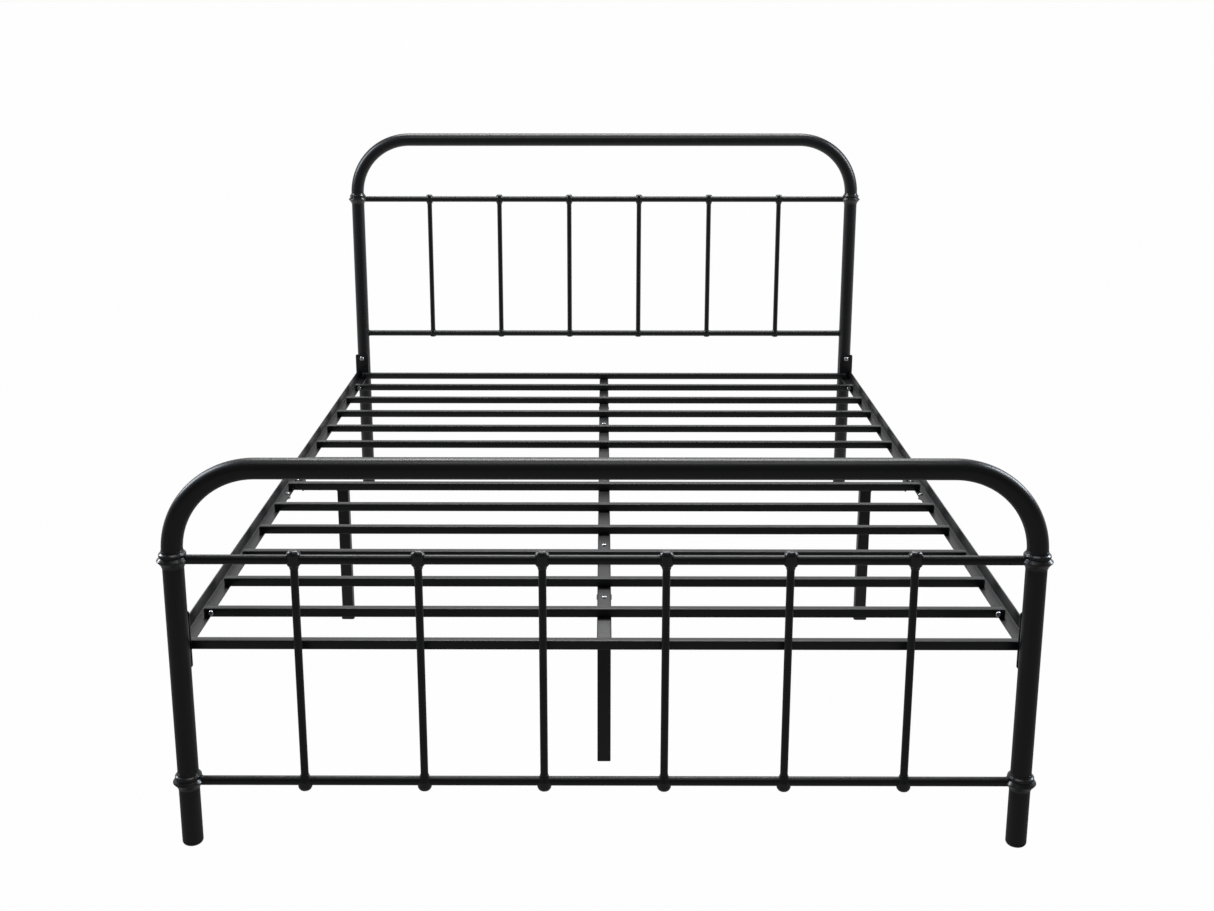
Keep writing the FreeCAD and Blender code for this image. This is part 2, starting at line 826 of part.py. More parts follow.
def build_crossbar():
    """The crossbar at mid-length, hung under the side rails, with its two legs and their shoes."""
    bar = flat_bar("crossbar_tube", "YZ_Plane", "2 * bar_end")
    place(bar, "-bar_end", "0", "bar_low + bar_high / 2")
    bolt_hole = rod("crossbar_hole", ("0", "0", "beam_low + bar_wall"), DOWN, "small_hole", "2 * bar_high")
    node("middle_crossbar", cut("middle_crossbar", bar, [bolt_hole]))

    section = [
        ("bar_end", "bar_low"),
        ("bar_end + hanger_wall", "bar_low"),
        ("bar_end + hanger_wall", "hanger_under"),
        ("bar_end + angle_leg", "hanger_under"),
        ("bar_end + angle_leg", "splice_under"),
        ("bar_end", "splice_under"),
    ]
    blank = place(padded("hanger_blank", "XZ_Plane", [section], "hanger_wide"), "0", "-hanger_wide / 2", "0")
    holes = splice_holes("hanger_hole", "slat_rest", ["splice_near", "-splice_near"])
    shoulder = ("hanger_wall", "(hanger_wide - hanger_tab) / 2", "hanger_under - bar_low")
    for index, start in enumerate(("-hanger_wide / 2", "hanger_tab / 2")):
        holes.append(box(f"hanger_shoulder_{index}", ("bar_end", start, "bar_low"), shoulder))
    node("crossbar_hangers", two_sides("crossbar_hangers", cut("crossbar_hanger", blank, holes)))

    leg = square_bar("right_middle_leg", "bar_low - shoe_floor")
    node("right_middle_leg", place(leg, "middle_leg_across", "0", "shoe_floor"))
    node("left_middle_leg", mirror("left_middle_leg", leg, RIGHT))

    corner = "bar_corner + (shoe_side - bar_side) / 2"
    block = padded("shoe_block", "XY_Plane", [rounded("shoe_side", "shoe_side", corner)], "shoe_high")
    document.recompute()
    tread = [
        f"Edge{index}"
        for index, edge in enumerate(block.Shape.Edges, start=1)
        if max(vertex.Z for vertex in edge.Vertexes) < value("shoe_edge")
    ]
    rounding = block.newObject("PartDesign::Fillet", "shoe_rounding")
    rounding.Base = (document.getObject("shoe_block_pad"), tread)
    bind(rounding, Radius="shoe_edge")
    block.Tip = rounding
    place(block, "middle_leg_across", "0", "0")
    pocket_side = "bar_side + 2 * running_fit"
    pocket = box(
        "shoe_pocket",
        (f"middle_leg_across - ({pocket_side}) / 2", f"-({pocket_side}) / 2", "shoe_floor"),
        (pocket_side, pocket_side, "shoe_high"),
    )
    node("middle_leg_shoes", two_sides("middle_leg_shoes", cut("middle_leg_shoe", block, [pocket])))


def beam_holes(name, rows):
    """Cutters for upright bolts through the beam."""
    holes = []
    for index, row in enumerate(rows):
        start = ("0", row, "slat_rest + bar_wall")
        reach = "bar_high + 2 * strap_wall + bar_wall"
        holes.append(rod(f"{name}_{index}", start, DOWN, "small_hole", reach))
    return holes


def plug_tongue(name, role, high):
    """The part of a plastic plug that sits inside a tube, from its plane along the tube."""
    return padded(name, role, [rounded("bar_bore", high, "bar_corner - bar_wall")], "plug_depth")


def build_centre_beam():
    """The beam under the slats, in two halves on an inner sleeve, with plugs in its ends."""
    middle = "slat_rest - bar_high / 2"
    foot_start = "beam_foot_inset - half_length + end_cap"
    head_stop = "half_length - beam_head_inset - end_cap"
    foot_half = flat_bar("beam_foot_tube", "XZ_Plane", f"beam_joint - halves_gap / 2 - ({foot_start})")
    place(foot_half, "0", foot_start, middle)
    head_half = flat_bar("beam_head_tube", "XZ_Plane", f"{head_stop} - beam_joint - halves_gap / 2")
    place(head_half, "0", "beam_joint + halves_gap / 2", middle)
    foot_holes = beam_holes("foot_beam_hole", ["-leg_bolt_near", "-leg_bolt_far", "0"])
    head_holes = beam_holes("head_beam_hole", ["sleeve_bolt", "leg_bolt_far", "leg_bolt_near"])
    node("centre_beam_foot_half", cut("centre_beam_foot_half", foot_half, foot_holes))
    node("centre_beam_head_half", cut("centre_beam_head_half", head_half, head_holes))

    sleeve = hollow_bar("sleeve_tube", "XZ_Plane", ("bar_bore", "bar_bore_high"), "bar_wall",
                        "bar_corner - bar_wall / 2", "2 * sleeve_half")
    place(sleeve, "0", "beam_joint - sleeve_half", middle)
    sleeve_holes = beam_holes("sleeve_hole", ["0", "sleeve_bolt"])
    node("centre_beam_sleeve", cut("centre_beam_sleeve", sleeve, sleeve_holes))

    plug_bodies = []
    for end, along, cap_start, plug_start in (
        ("foot", foot_start, "-end_cap", "0"),
        ("head", head_stop, "0", "-plug_depth"),
    ):
        cap = box(
            f"beam_{end}_cap",
            ("-bar_side / 2", f"{along} + {cap_start}", "beam_low"),
            ("bar_side", "end_cap", "bar_high"),
        )
        tongue = plug_tongue(f"beam_{end}_tongue", "XZ_Plane", "bar_bore_high")
        place(tongue, "0", f"{along} + {plug_start}", middle)
        plug_bodies.append(union(f"beam_{end}_plug", [cap, tongue]))
    node("centre_beam_end_plugs", group("centre_beam_end_plugs", plug_bodies))


def build_centre_legs():
    """Two legs under the beam, each on a long strap that is bolted to the beam in two places."""
    leg = square_bar("foot_centre_leg", "strap_under - end_cap")
    node("foot_centre_leg", place(leg, "0", "-leg_row", "end_cap"))
    node("head_centre_leg", mirror("head_centre_leg", leg, TO_HEAD))

    start = ("-bar_side / 2", "-leg_row - bar_side / 2", "0")
    cap = box("leg_cap", start, ("bar_side", "bar_side", "end_cap"))
    tongue = place(plug_tongue("leg_tongue", "XY_Plane", "bar_bore"), "0", "-leg_row", "end_cap")
    node("centre_leg_plugs", two_ends("centre_leg_plugs", union("leg_plug", [cap, tongue])))

    blank = box(
        "strap_blank",
        ("-bar_side / 2", "-leg_bolt_near - strap_margin", "strap_under"),
        ("bar_side", "leg_bolt_near - leg_bolt_far + 2 * strap_margin", "strap_wall"),
    )
    strap = cut("leg_strap", blank, beam_holes("strap_hole", ["-leg_bolt_near", "-leg_bolt_far"]))
    node("centre_leg_straps", two_ends("centre_leg_straps", strap))


build_crossbar()
build_centre_beam()
build_centre_legs()

# --- bolts, nuts, washers and inserts ------------------------------------------------------------------


def bolt(name, head_dia, head_high, shank_dia, reach):
    """A round-headed bolt at the origin: the head stands on Z = 0 and the shank hangs below."""
    edge = f"{head_high} / 3"
    profile = [
        ("0", f"-({reach})"),
        (f"{shank_dia} / 2", f"-({reach})"),
        (f"{shank_dia} / 2", "0"),
        (f"{head_dia} / 2", "0"),
        (f"{head_dia} / 2", f"{head_high} - {edge}"),
        (f"{head_dia} / 2 - {edge}", head_high),
        ("0", head_high),
    ]
    return turned(name, profile)


def small_bolt(name, reach):
    """A small bolt that passes a thickness, its nut and a little more."""
    full_reach = f"{reach} + nut_high + thread_end"
    return bolt(name, "small_head_dia", "small_head_high", "small_bolt_dia", full_reach)


def build_post_fasteners():
    """Bolts that hold the end plates to the posts, and the threaded inserts that they turn into."""
    screw = bolt("post_bolt", "post_head_dia", "post_head_high", "post_bolt_dia", "plate_wall + insert_deep")
    bolt_spots = [("plate_middle", "-plate_face", height) for height in POST_BOLT_HEIGHTS]
    quarter = group("post_bolts_quarter", copies("post_bolt_copy", screw, bolt_spots, TO_HEAD))
    node("post_bolts", four_corners("post_bolts", quarter))

    inserts = []
    for index, spot in enumerate(insert_spots()):
        outside = rod(f"insert_outside_{index}", spot, TO_FOOT, "insert_dia", "insert_deep")
        bore = rod(f"insert_bore_{index}", spot, TO_FOOT, "post_bolt_dia", "insert_deep")
        inserts.append(cut(f"insert_{index}", outside, [bore]))
    node("post_inserts", four_corners("post_inserts", group("inserts_quarter", inserts)))


def build_small_fasteners():
    """Tie, splice and beam bolts, with their nuts and the washers under the tie bolts' heads."""
    tie = small_bolt("tie_bolt", "washer_wall + slat_deep + ear_wall")
    tie_spot = ("tie_across", "-tie_front - washer_wall", "slat_middle_height")
    tie_quarter = group("tie_quarter", copies("tie_copy", tie, [tie_spot], TO_FOOT))
    node("tie_bolts", four_corners("tie_bolts", tie_quarter))

    washer_start = ("tie_across", "-tie_front", "slat_middle_height")
    washer = cut(
        "washer",
        rod("washer_outside", washer_start, TO_FOOT, "washer_dia", "washer_wall"),
        [rod("washer_bore", washer_start, TO_FOOT, "small_hole", "washer_wall")],
    )
    node("tie_washers", four_corners("tie_washers", washer))

    near = small_bolt("near_splice_bolt", "angle_wall + splice_wall + hanger_wall")
    far = small_bolt("far_splice_bolt", "angle_wall + splice_wall")
    splice_bolts = copies("near_splice_copy", near, [("splice_across", "-splice_near", "slat_rest")])
    splice_bolts += copies("far_splice_copy", far, [("splice_across", "-(splice_far)", "slat_rest")])
    node("splice_bolts", four_corners("splice_bolts", group("splice_bolts_quarter", splice_bolts)))

    leg_bolt = small_bolt("leg_bolt", "bar_high + strap_wall")
    crossing_bolt = small_bolt("crossing_bolt", "2 * bar_high")
    sleeve_bolt = small_bolt("sleeve_bolt", "bar_high")
    leg_rows = ["-leg_bolt_near", "-leg_bolt_far", "leg_bolt_far", "leg_bolt_near"]
    beam_bolts = copies("leg_bolt_copy", leg_bolt, [("0", row, "slat_rest") for row in leg_rows])
    beam_bolts += copies("crossing_copy", crossing_bolt, [("0", "0", "slat_rest")])
    beam_bolts += copies("sleeve_bolt_copy", sleeve_bolt, [("0", "sleeve_bolt", "slat_rest")])
    node("beam_bolts", group("beam_bolts", beam_bolts))

    prism = document.addObject("Part::Prism", "nut_prism")
    prism.Polygon = 6
    bind(prism, Circumradius="nut_round / 2", Height="nut_high")
    nut = cut("nut", prism, [rod("nut_bore", ("0", "0", "0"), UP, "small_bolt_dia", "nut_high")])
    tie_nuts = copies("tie_nut", nut, [("tie_across", "-ear_face + ear_wall", "slat_middle_height")], TO_HEAD)
    splice_spots = [
        ("splice_across", "-splice_near", "hanger_under - nut_high"),
        ("splice_across", "-(splice_far)", "splice_under - nut_high"),
    ]
    corner_nuts = group("corner_nuts", tie_nuts + copies("splice_nut", nut, splice_spots))
    beam_spots = [("0", row, "strap_under - nut_high") for row in leg_rows]
    beam_spots += [("0", "0", "bar_low - nut_high"), ("0", "sleeve_bolt", "beam_low - nut_high")]
    beam_nuts = group("beam_nuts", copies("beam_nut", nut, beam_spots))
    node("small_nuts", group("small_nuts", [four_corners("corner_nuts_all", corner_nuts), beam_nuts]))


build_post_fasteners()
build_small_fasteners()

# --- checks and files ---------------------------------------------------------------------------------

document.recompute()
for item in document.Objects:
    if {"Invalid", "Error"} & set(item.State):
        raise RuntimeError(f"{item.Label} failed: {item.State}")
for piece in nodes:
    if piece.Shape.isNull() or not piece.Shape.isValid() or not piece.Shape.Solids:
        raise RuntimeError(f"{piece.Label} has no valid solid")

os.makedirs("parts", exist_ok=True)
for piece in nodes:
    piece.Shape.exportStep(f"parts/{piece.Label}.step")
print(f"{len(nodes)} nodes, {sum(len(piece.Shape.Solids) for piece in nodes)} solids")
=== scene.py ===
from collections import namedtuple
from math import pi, radians

import bpy
import numpy as np
from bpy.props import FloatProperty, FloatVectorProperty, IntProperty, PointerProperty
from bpy.types import Operator, Panel, PropertyGroup
from mathutils import Matrix, Vector


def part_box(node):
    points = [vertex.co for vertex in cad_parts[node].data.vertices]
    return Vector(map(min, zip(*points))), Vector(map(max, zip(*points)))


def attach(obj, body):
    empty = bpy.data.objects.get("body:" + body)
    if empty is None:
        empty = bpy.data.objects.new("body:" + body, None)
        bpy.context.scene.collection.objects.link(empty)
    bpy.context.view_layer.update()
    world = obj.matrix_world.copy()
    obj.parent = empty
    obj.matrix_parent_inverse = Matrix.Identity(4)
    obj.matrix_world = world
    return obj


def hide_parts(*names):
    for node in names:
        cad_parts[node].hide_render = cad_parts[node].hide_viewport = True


bl_info = {
    "name": "Metal Bed Frame",
    "version": (1, 0, 0),
    "blender": (4, 5, 0),
    "location": "3D View > Sidebar > Bed Frame",
    "description": "Builds the finished surfaces of an arched tubular bed frame round its packed solids",
    "category": "Add Mesh",
}

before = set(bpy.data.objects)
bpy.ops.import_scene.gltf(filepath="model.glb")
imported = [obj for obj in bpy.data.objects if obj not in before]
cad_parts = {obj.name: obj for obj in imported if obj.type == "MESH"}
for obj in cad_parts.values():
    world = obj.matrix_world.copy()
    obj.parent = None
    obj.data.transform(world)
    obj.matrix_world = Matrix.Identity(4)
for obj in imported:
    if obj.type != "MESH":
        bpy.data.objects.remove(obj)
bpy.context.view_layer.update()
MM = 0.001
SPINDLES = 6
SLATS = 14
BOARDS = ("headboard", "footboard")
SIDES = ("left", "right")
ENDS = ("foot", "head")
CUT_EDGE = 0.35 * MM  # rounding of the tubes' cut ends
EAR_WALL = 2.5 * MM

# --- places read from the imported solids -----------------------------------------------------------


def middle(node):
    """The middle of a node's box."""
    low, high = (np.array(corner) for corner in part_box(node))
    return (low + high) / 2


def extent(node):
    """The size of a node's box along X, Y and Z."""
    low, high = (np.array(corner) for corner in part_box(node))
    return high - low


def span_of(node):
    """The lowest and highest corner of a node's box as arrays."""
    low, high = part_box(node)
    return np.array(low), np.array(high)


# --- settings -------------------------------------------------------------------------------------


def length(name, description, millimetres):
    """A length setting whose default is given in millimetres."""
    return FloatProperty(
        name=name, description=description, default=millimetres * MM, min=0, subtype="DISTANCE", unit="LENGTH"
    )


def share(name, description, default):
    """A setting between nought and one."""
    return FloatProperty(name=name, description=description, default=default, min=0, max=1, subtype="FACTOR")


def strength(name, description, default):
    """A light's power or strength."""
    return FloatProperty(name=name, description=description, default=default, min=0)


def colour(name, description, default):
    """A linear colour setting."""
    return FloatVectorProperty(
        name=name, description=description, default=default, size=3, min=0, max=1, subtype="COLOR"
    )


class BedSizes(PropertyGroup):
    """Sizes of the finished surfaces that the solids' boxes don't give."""

    head_bend: length("Headboard bend", "Bend radius of the headboard's tube at its centre line", 151)
    foot_bend: length("Footboard bend", "Bend radius of the footboard's tube at its centre line", 141)
    round_steps: IntProperty(name="Steps round", description="Faces round a post tube", default=64, min=16)
    bend_steps: IntProperty(name="Steps in a bend", description="Rings in a quarter bend", default=40, min=8)
    slat_corner: length("Slat corner", "Corner radius of the slats' square tube", 2)
    bar_corner: length("Bar corner", "Corner radius of the larger square tubes", 2.5)
    angle_wall: length("Angle thickness", "Thickness of the side rails' steel angle", 2.5)
    angle_toe: length("Angle edge", "Rounding of the angle's edges", 0.7)
    weld_bead: length("Weld bead", "Radius of the weld beads", 1.7)


class BedFinish(PropertyGroup):
    """Colours and surface texture."""

    coat: colour("Powder coat", "Colour of the powder coat", (0.0075, 0.0077, 0.0086))
    coat_roughness: share("Coat roughness", "Roughness of the satin coat", 0.36)
    texture_size: length("Coat texture", "Size of the bumps in the powder coat", 1.6)
    plastic: colour("Plastic", "Colour of the feet and plugs", (0.011, 0.011, 0.0115))
    plastic_roughness: share("Plastic roughness", "Roughness of the plastic", 0.48)
    zinc: colour("Zinc", "Colour of the plated bolts", (0.62, 0.63, 0.65))
    dull_zinc: colour("Dull zinc", "Colour of the specks on the plated bolts", (0.5, 0.52, 0.55))
    oxide: colour("Washer", "Colour of the dark washers", (0.03, 0.03, 0.032))


class BedStudio(PropertyGroup):
    """Light and floor."""

    floor: colour("Floor", "Colour of the floor", (0.99, 0.99, 0.99))
    key: strength("Key light", "Power of the overhead softbox", 170)
    side: strength("Side lights", "Power of each side softbox", 100)
    near_bounce: strength("Near bounce", "Light thrown by the floor in front of the bed", 0.2)
    far_bounce: strength("Far bounce", "Light thrown by the floor and backdrop behind the bed", 0.8)
    ambient: strength("Ambient", "Strength of the even light all round", 0.1)


# --- surfaces -------------------------------------------------------------------------------------

# A skin is a closed surface: points, four-cornered faces and faces with other counts of corners.
Skin = namedtuple("Skin", "points quads others")


def ring_quads(rows, around, closed=False):
    """Faces between rings of points: row by row, each ring closed on itself, all turned outwards."""
    steps = rows if closed else rows - 1
    row, spot = np.meshgrid(np.arange(steps), np.arange(around), indexing="ij")
    after, beside = (row + 1) % rows, (spot + 1) % around
    corners = (row * around + spot, row * around + beside, after * around + beside, after * around + spot)
    return np.stack(corners, axis=-1).reshape(-1, 4)


def hoop(rings):
    """A closed skin through rings where the last ring joins the first, as on a washer."""
    rows, around, _ = rings.shape
    return Skin(rings.reshape(-1, 3), ring_quads(rows, around, closed=True), [])


def pointed(rings, low_pole, high_pole):
    """A skin through rings that closes in a single point where a pole is given, else in a flat cap."""
    rows, around, _ = rings.shape
    spot = np.arange(around)
    points, others = [rings.reshape(-1, 3)], []
    count = rows * around
    for pole, rim in ((low_pole, spot[::-1]), (high_pole, (rows - 1) * around + spot)):
        if pole is None:
            others.append(rim.tolist())
            continue
        points.append(np.reshape(pole, (1, 3)))
        others += np.stack([rim, np.roll(rim, -1), np.full(around, count)], axis=-1).tolist()
        count += 1
    return Skin(np.concatenate(points), ring_quads(rows, around), others)


def skin(rings):
    """A closed skin through rings, an array of rows by points round by 3; both ends get flat caps."""
    return pointed(rings, None, None)


def joined(skins):
    """Several skins as one, with each one's faces counted on from the last."""
    points, quads, others = [], [], []
    start = 0
    for item in skins:
        points.append(item.points)
        quads.append(item.quads + start)
        others += [[corner + start for corner in face] for face in item.others]
        start += len(item.points)
    return Skin(np.concatenate(points), np.concatenate(quads), others)


def moved(item, offset):
    """A skin shifted by an offset."""
    return item._replace(points=item.points + np.asarray(offset))


def turned_to(item, axis):
    """A skin whose +Z becomes another axis, without being mirrored."""
    x, y, z = item.points.T
    columns = {"+X": (z, y, -x), "+Y": (x, z, -y), "-Y": (x, -z, y), "+Z": (x, y, z)}
    return item._replace(points=np.stack(columns[axis], axis=-1))


def mirrored(item, axis):
    """A skin mirrored through the middle of the frame, with its faces turned back outwards."""
    flip = np.ones(3)
    flip[axis] = -1
    others = [face[::-1] for face in item.others]
    return Skin(item.points * flip, item.quads[:, ::-1], others)


def four_corners(item):
    """A skin with its images at all four corners of the bed."""
    pair = joined([item, mirrored(item, 0)])
    return joined([pair, mirrored(pair, 1)])


def rounded_outline(corners, steps=5):
    """A polygon whose corners are arcs. A corner is (x, y, radius), listed anticlockwise.

    Each arc touches both sides at radius / tan(half the corner's angle) from the corner.
    """
    spots = np.array([corner[:2] for corner in corners], dtype=float)
    pieces = []
    for index, (x, y, radius) in enumerate(corners):
        here = np.array([x, y])
        back = spots[index - 1] - here
        ahead = spots[(index + 1) % len(corners)] - here
        back /= np.linalg.norm(back)
        ahead /= np.linalg.norm(ahead)
        if radius <= 0:
            pieces.append(here[None])
            continue
        half = np.arccos(np.clip(back @ ahead, -1, 1)) / 2
        bisector = (back + ahead) / np.linalg.norm(back + ahead)
        centre = here + bisector * radius / np.sin(half)
        start = here + back * radius / np.tan(half) - centre
        turn = np.sign(back[1] * ahead[0] - back[0] * ahead[1]) * (pi - 2 * half)
        angle = np.linspace(0, turn, steps + 1)[:, None]
        across = np.array([-start[1], start[0]])
        pieces.append(centre + start * np.cos(angle) + across * np.sin(angle))
    return np.concatenate(pieces)


def rounded_rectangle(wide, high, corner, steps=5):
    """Points of a rectangle round the origin with rounded corners, anticlockwise."""
    x, y = wide / 2, high / 2
    return rounded_outline([(-x, -y, corner), (x, -y, corner), (x, y, corner), (-x, y, corner)], steps)


def lathe(profile, around):
    """A surface of revolution about Z: radius and height along the profile, angle round it.

    A profile that starts or ends at radius nought closes in a point there.
    """
    profile = np.asarray(profile, dtype=float)
    low_pole = (0, 0, profile[0, 1]) if profile[0, 0] < 1e-9 else None
    high_pole = (0, 0, profile[-1, 1]) if profile[-1, 0] < 1e-9 else None
    body = profile[(low_pole is not None) : len(profile) - (high_pole is not None)]
    return pointed(lathe_rings(body, around), low_pole, high_pole)


def lathe_rings(profile, around):
    """Rings round Z at each radius and height of a profile."""
    return with_radii(profile, full_turn(around))


def with_radii(rows, angle):
    """Rings round Z from rows of radius and height, where a radius is a number or one for each angle."""
    x, y = np.cos(angle), np.sin(angle)
    return np.stack([np.column_stack([radius * x, radius * y, height + 0 * x]) for radius, height in rows])


def full_turn(count):
    """Equal angles round a circle."""
    return np.linspace(0, 2 * pi, count, endpoint=False)


def soft_block(size, corner, edge, axis="+Z"):
    """A block centred on the origin, with rounded corners along its axis and rounded edges at its ends.

    Its section is a rounded rectangle. Near each end the section draws in by edge * (1 - sin a) while
    the height rises by edge * (1 - cos a), which rounds the rim by a quarter circle.
    """
    wide, high, long = size
    steps = 4
    turn = np.linspace(0, pi / 2, steps + 1)
    inset = edge * (1 - np.sin(turn))
    levels = -long / 2 + edge * (1 - np.cos(turn))
    tightest = edge / 4
    rings = []
    for draw, level in zip(inset, levels):
        outline = rounded_rectangle(wide - 2 * draw, high - 2 * draw, max(corner - draw, tightest), steps)
        rings.append(with_height(outline, level))
    lower = np.stack(rings)
    upper = lower[::-1] * (1, 1, -1)
    return turned_to(skin(np.concatenate([lower, upper])), axis)


def with_height(outline, level):
    """A flat outline as points at one height."""
    return np.column_stack([outline, np.full(len(outline), level)])


def block_over(node, corner, axis):
    """A soft block that fills a node's box."""
    wide, deep, high = extent(node)
    size = {"+X": (high, deep, wide), "+Y": (wide, high, deep), "+Z": (wide, deep, high)}[axis]
    return moved(soft_block(size, corner, CUT_EDGE, axis), middle(node))


def carried(outline, centres, across, along):
    """A closed outline carried along a path: each ring is its centre plus outline x * across + y * along.

    Across, along and the direction of travel are right-handed, so faces point outwards.
    """
    x, y = outline[:, 0][None, :, None], outline[:, 1][None, :, None]
    return centres[:, None] + x * across[:, None] + y * along[:, None]


def circle(radius, around):
    """Points round a circle, anticlockwise."""
    angle = full_turn(around)
    return np.column_stack([radius * np.cos(angle), radius * np.sin(angle)])


def straight(start, end, outline, steps):
    """A closed skin: an outline carried in equal steps in a straight line along X or Z.

    Across is +Y, and along is the line's direction crossed with it.
    """
    start, end = np.asarray(start, dtype=float), np.asarray(end, dtype=float)
    direction = (end - start) / np.linalg.norm(end - start)
    across = np.array([0.0, 1.0, 0.0])
    along = np.cross(direction, across)
    centres = start + (end - start) * np.linspace(0, 1, steps)[:, None]
    repeat = np.ones((steps, 1))
    return skin(carried(outline, centres, across * repeat, along * repeat))


# --- pieces ---------------------------------------------------------------------------------------


def make_piece(name, item, material, nodes=(), sharp=40):
    """Put a skin into a mesh object that rides on the bed, stands for its solids and has its finish.

    Edges where faces meet at more than the sharp angle, in degrees, stay crisp.
    """
    mesh = bpy.data.meshes.new(name)
    mesh.from_pydata(item.points.tolist(), [], item.quads.tolist() + item.others)
    mesh.validate()
    mesh.polygons.foreach_set("use_smooth", np.ones(len(mesh.polygons), dtype=bool))
    mesh.set_sharp_from_angle(angle=radians(sharp))
    mesh.materials.append(material)
    piece = bpy.data.objects.new(name, mesh)
    bpy.context.collection.objects.link(piece)
    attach(piece, "root")
    if nodes:
        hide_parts(*nodes)
    return piece


def coated(name, item, nodes=()):
    """A powder-coated piece."""
    return make_piece(name, item, powder_coat(), nodes)


def cast(name, item, nodes=()):
    """A powder-coated casting."""
    return make_piece(name, item, casting_coat(), nodes, sharp=50)


def plastic(name, item, nodes=()):
    """A moulded plastic piece."""
    return make_piece(name, item, black_plastic(), nodes)


def zinc(name, item, nodes=()):
    """A plated fastener."""
    return make_piece(name, item, zinc_plate(), nodes, sharp=35)


# --- materials ------------------------------------------------------------------------------------


def new_group(name, inputs, outputs):
    """A shader node group with float inputs and float outputs, and its input and output nodes."""
    group = bpy.data.node_groups.new(name, "ShaderNodeTree")
    for socket, default in inputs:
        item = group.interface.new_socket(socket, in_out="INPUT", socket_type="NodeSocketFloat")
        item.default_value = default
    for socket in outputs:
        group.interface.new_socket(socket, in_out="OUTPUT", socket_type="NodeSocketFloat")
    return group, group.nodes.new("NodeGroupInput"), group.nodes.new("NodeGroupOutput")


def feed(tree, value, socket):
    """Give a socket a number, or link another socket to it."""
    if isinstance(value, (int, float)):
        socket.default_value = value
    else:
        tree.links.new(value, socket)


def add_noise(tree, vector, scale, detail, roughness=0.5):
    """A noise texture on given coordinates."""
    noise = tree.nodes.new("ShaderNodeTexNoise")
    for socket, value in (("Vector", vector), ("Scale", scale), ("Detail", detail), ("Roughness", roughness)):
        feed(tree, value, noise.inputs[socket])
    return noise.outputs["Fac"]


def add_math(tree, operation, first, second):
    """A math node between sockets or numbers."""
    node = tree.nodes.new("ShaderNodeMath")
    node.operation = operation
    feed(tree, first, node.inputs[0])
    feed(tree, second, node.inputs[1])
    return node.outputs[0]


def add_range(tree, value, source, target=(0.0, 1.0)):
    """Spread the range of a value from source, low to high, over target."""
    node = tree.nodes.new("ShaderNodeMapRange")
    feed(tree, value, node.inputs["Value"])
    for socket, bound in zip(("From Min", "From Max", "To Min", "To Max"), (*source, *target)):
        feed(tree, bound, node.inputs[socket])
    return node.outputs["Result"]


def surface_group():
    """The shared surface: fine bumps for the height, slow drifts and faint dust for the roughness.

    Height is a fine noise plus half as much of a broader one. Roughness is a base value plus a slow
    drift. Dust is a mask of small soft specks.
    """
    found = bpy.data.node_groups.get("coated surface")
    if found:
        return found
    inputs = (("Scale", 600), ("Roughness", 0.4), ("Drift", 0.05))
    group, source, sink = new_group("coated surface", inputs, ("Height", "Roughness", "Dust"))
    coordinates = group.nodes.new("ShaderNodeTexCoord").outputs["Object"]
    scale, roughness, drift = (source.outputs[name] for name, _ in inputs)
    fine = add_noise(group, coordinates, scale, detail=3, roughness=0.55)
    broad = add_noise(group, coordinates, add_math(group, "MULTIPLY", scale, 0.22), detail=2)
    slow = add_noise(group, coordinates, 9.0, detail=4, roughness=0.6)
    specks = add_noise(group, coordinates, 260.0, detail=2, roughness=0.7)
    low = add_math(group, "SUBTRACT", roughness, drift)
    high = add_math(group, "ADD", roughness, drift)
    results = {
        "Height": add_math(group, "ADD", fine, add_math(group, "MULTIPLY", broad, 0.5)),
        "Roughness": add_range(group, slow, (0.3, 0.7), (low, high)),
        "Dust": add_range(group, specks, (0.66, 0.8)),
    }
    for name, result in results.items():
        group.links.new(result, sink.inputs[name])
    return group


def finish_material(
    name, base, tint, *, roughness, drift, texture, bump, depth, metallic=0.0, specular=0.5, coat=0.0
):
    """A material whose colour drifts between base and tint with dust, over the shared surface.

    Texture is the size of its bumps, bump their strength and depth their height.
    """
    found = bpy.data.materials.get(name)
    if found:
        return found
    material = bpy.data.materials.new(name)
    material.use_nodes = True
    tree = material.node_tree
    shader = tree.nodes["Principled BSDF"]
    surface = tree.nodes.new("ShaderNodeGroup")
    surface.node_tree = surface_group()
    mix = tree.nodes.new("ShaderNodeMix")
    mix.data_type = "RGBA"
    mix.inputs[6].default_value = (*base, 1)
    mix.inputs[7].default_value = (*tint, 1)
    relief = tree.nodes.new("ShaderNodeBump")
    for node, settings in (
        (shader, {"Metallic": metallic, "Specular IOR Level": specular, "Coat Weight": coat,
                  "Coat Roughness": 0.12}),
        (surface, {"Scale": 1 / texture, "Roughness": roughness, "Drift": drift}),
        (relief, {"Strength": bump, "Distance": depth}),
    ):
        for socket, value in settings.items():
            node.inputs[socket].default_value = value
    tree.links.new(surface.outputs["Dust"], mix.inputs[0])
    tree.links.new(mix.outputs[2], shader.inputs["Base Color"])
    tree.links.new(surface.outputs["Roughness"], shader.inputs["Roughness"])
    tree.links.new(surface.outputs["Height"], relief.inputs["Height"])
    tree.links.new(relief.outputs["Normal"], shader.inputs["Normal"])
    return material


def lighter(base, amount):
    """A colour moved towards white by an amount."""
    return tuple(channel + (1 - channel) * amount for channel in base)


def powder_coat():
    """Satin black powder coat with a fine even texture."""
    finish = bpy.context.scene.bed_finish
    return finish_material(
        "powder_coat", tuple(finish.coat), lighter(finish.coat, 0.012), roughness=finish.coat_roughness,
        drift=0.045, texture=finish.texture_size, bump=0.1, depth=0.4 * MM,
    )


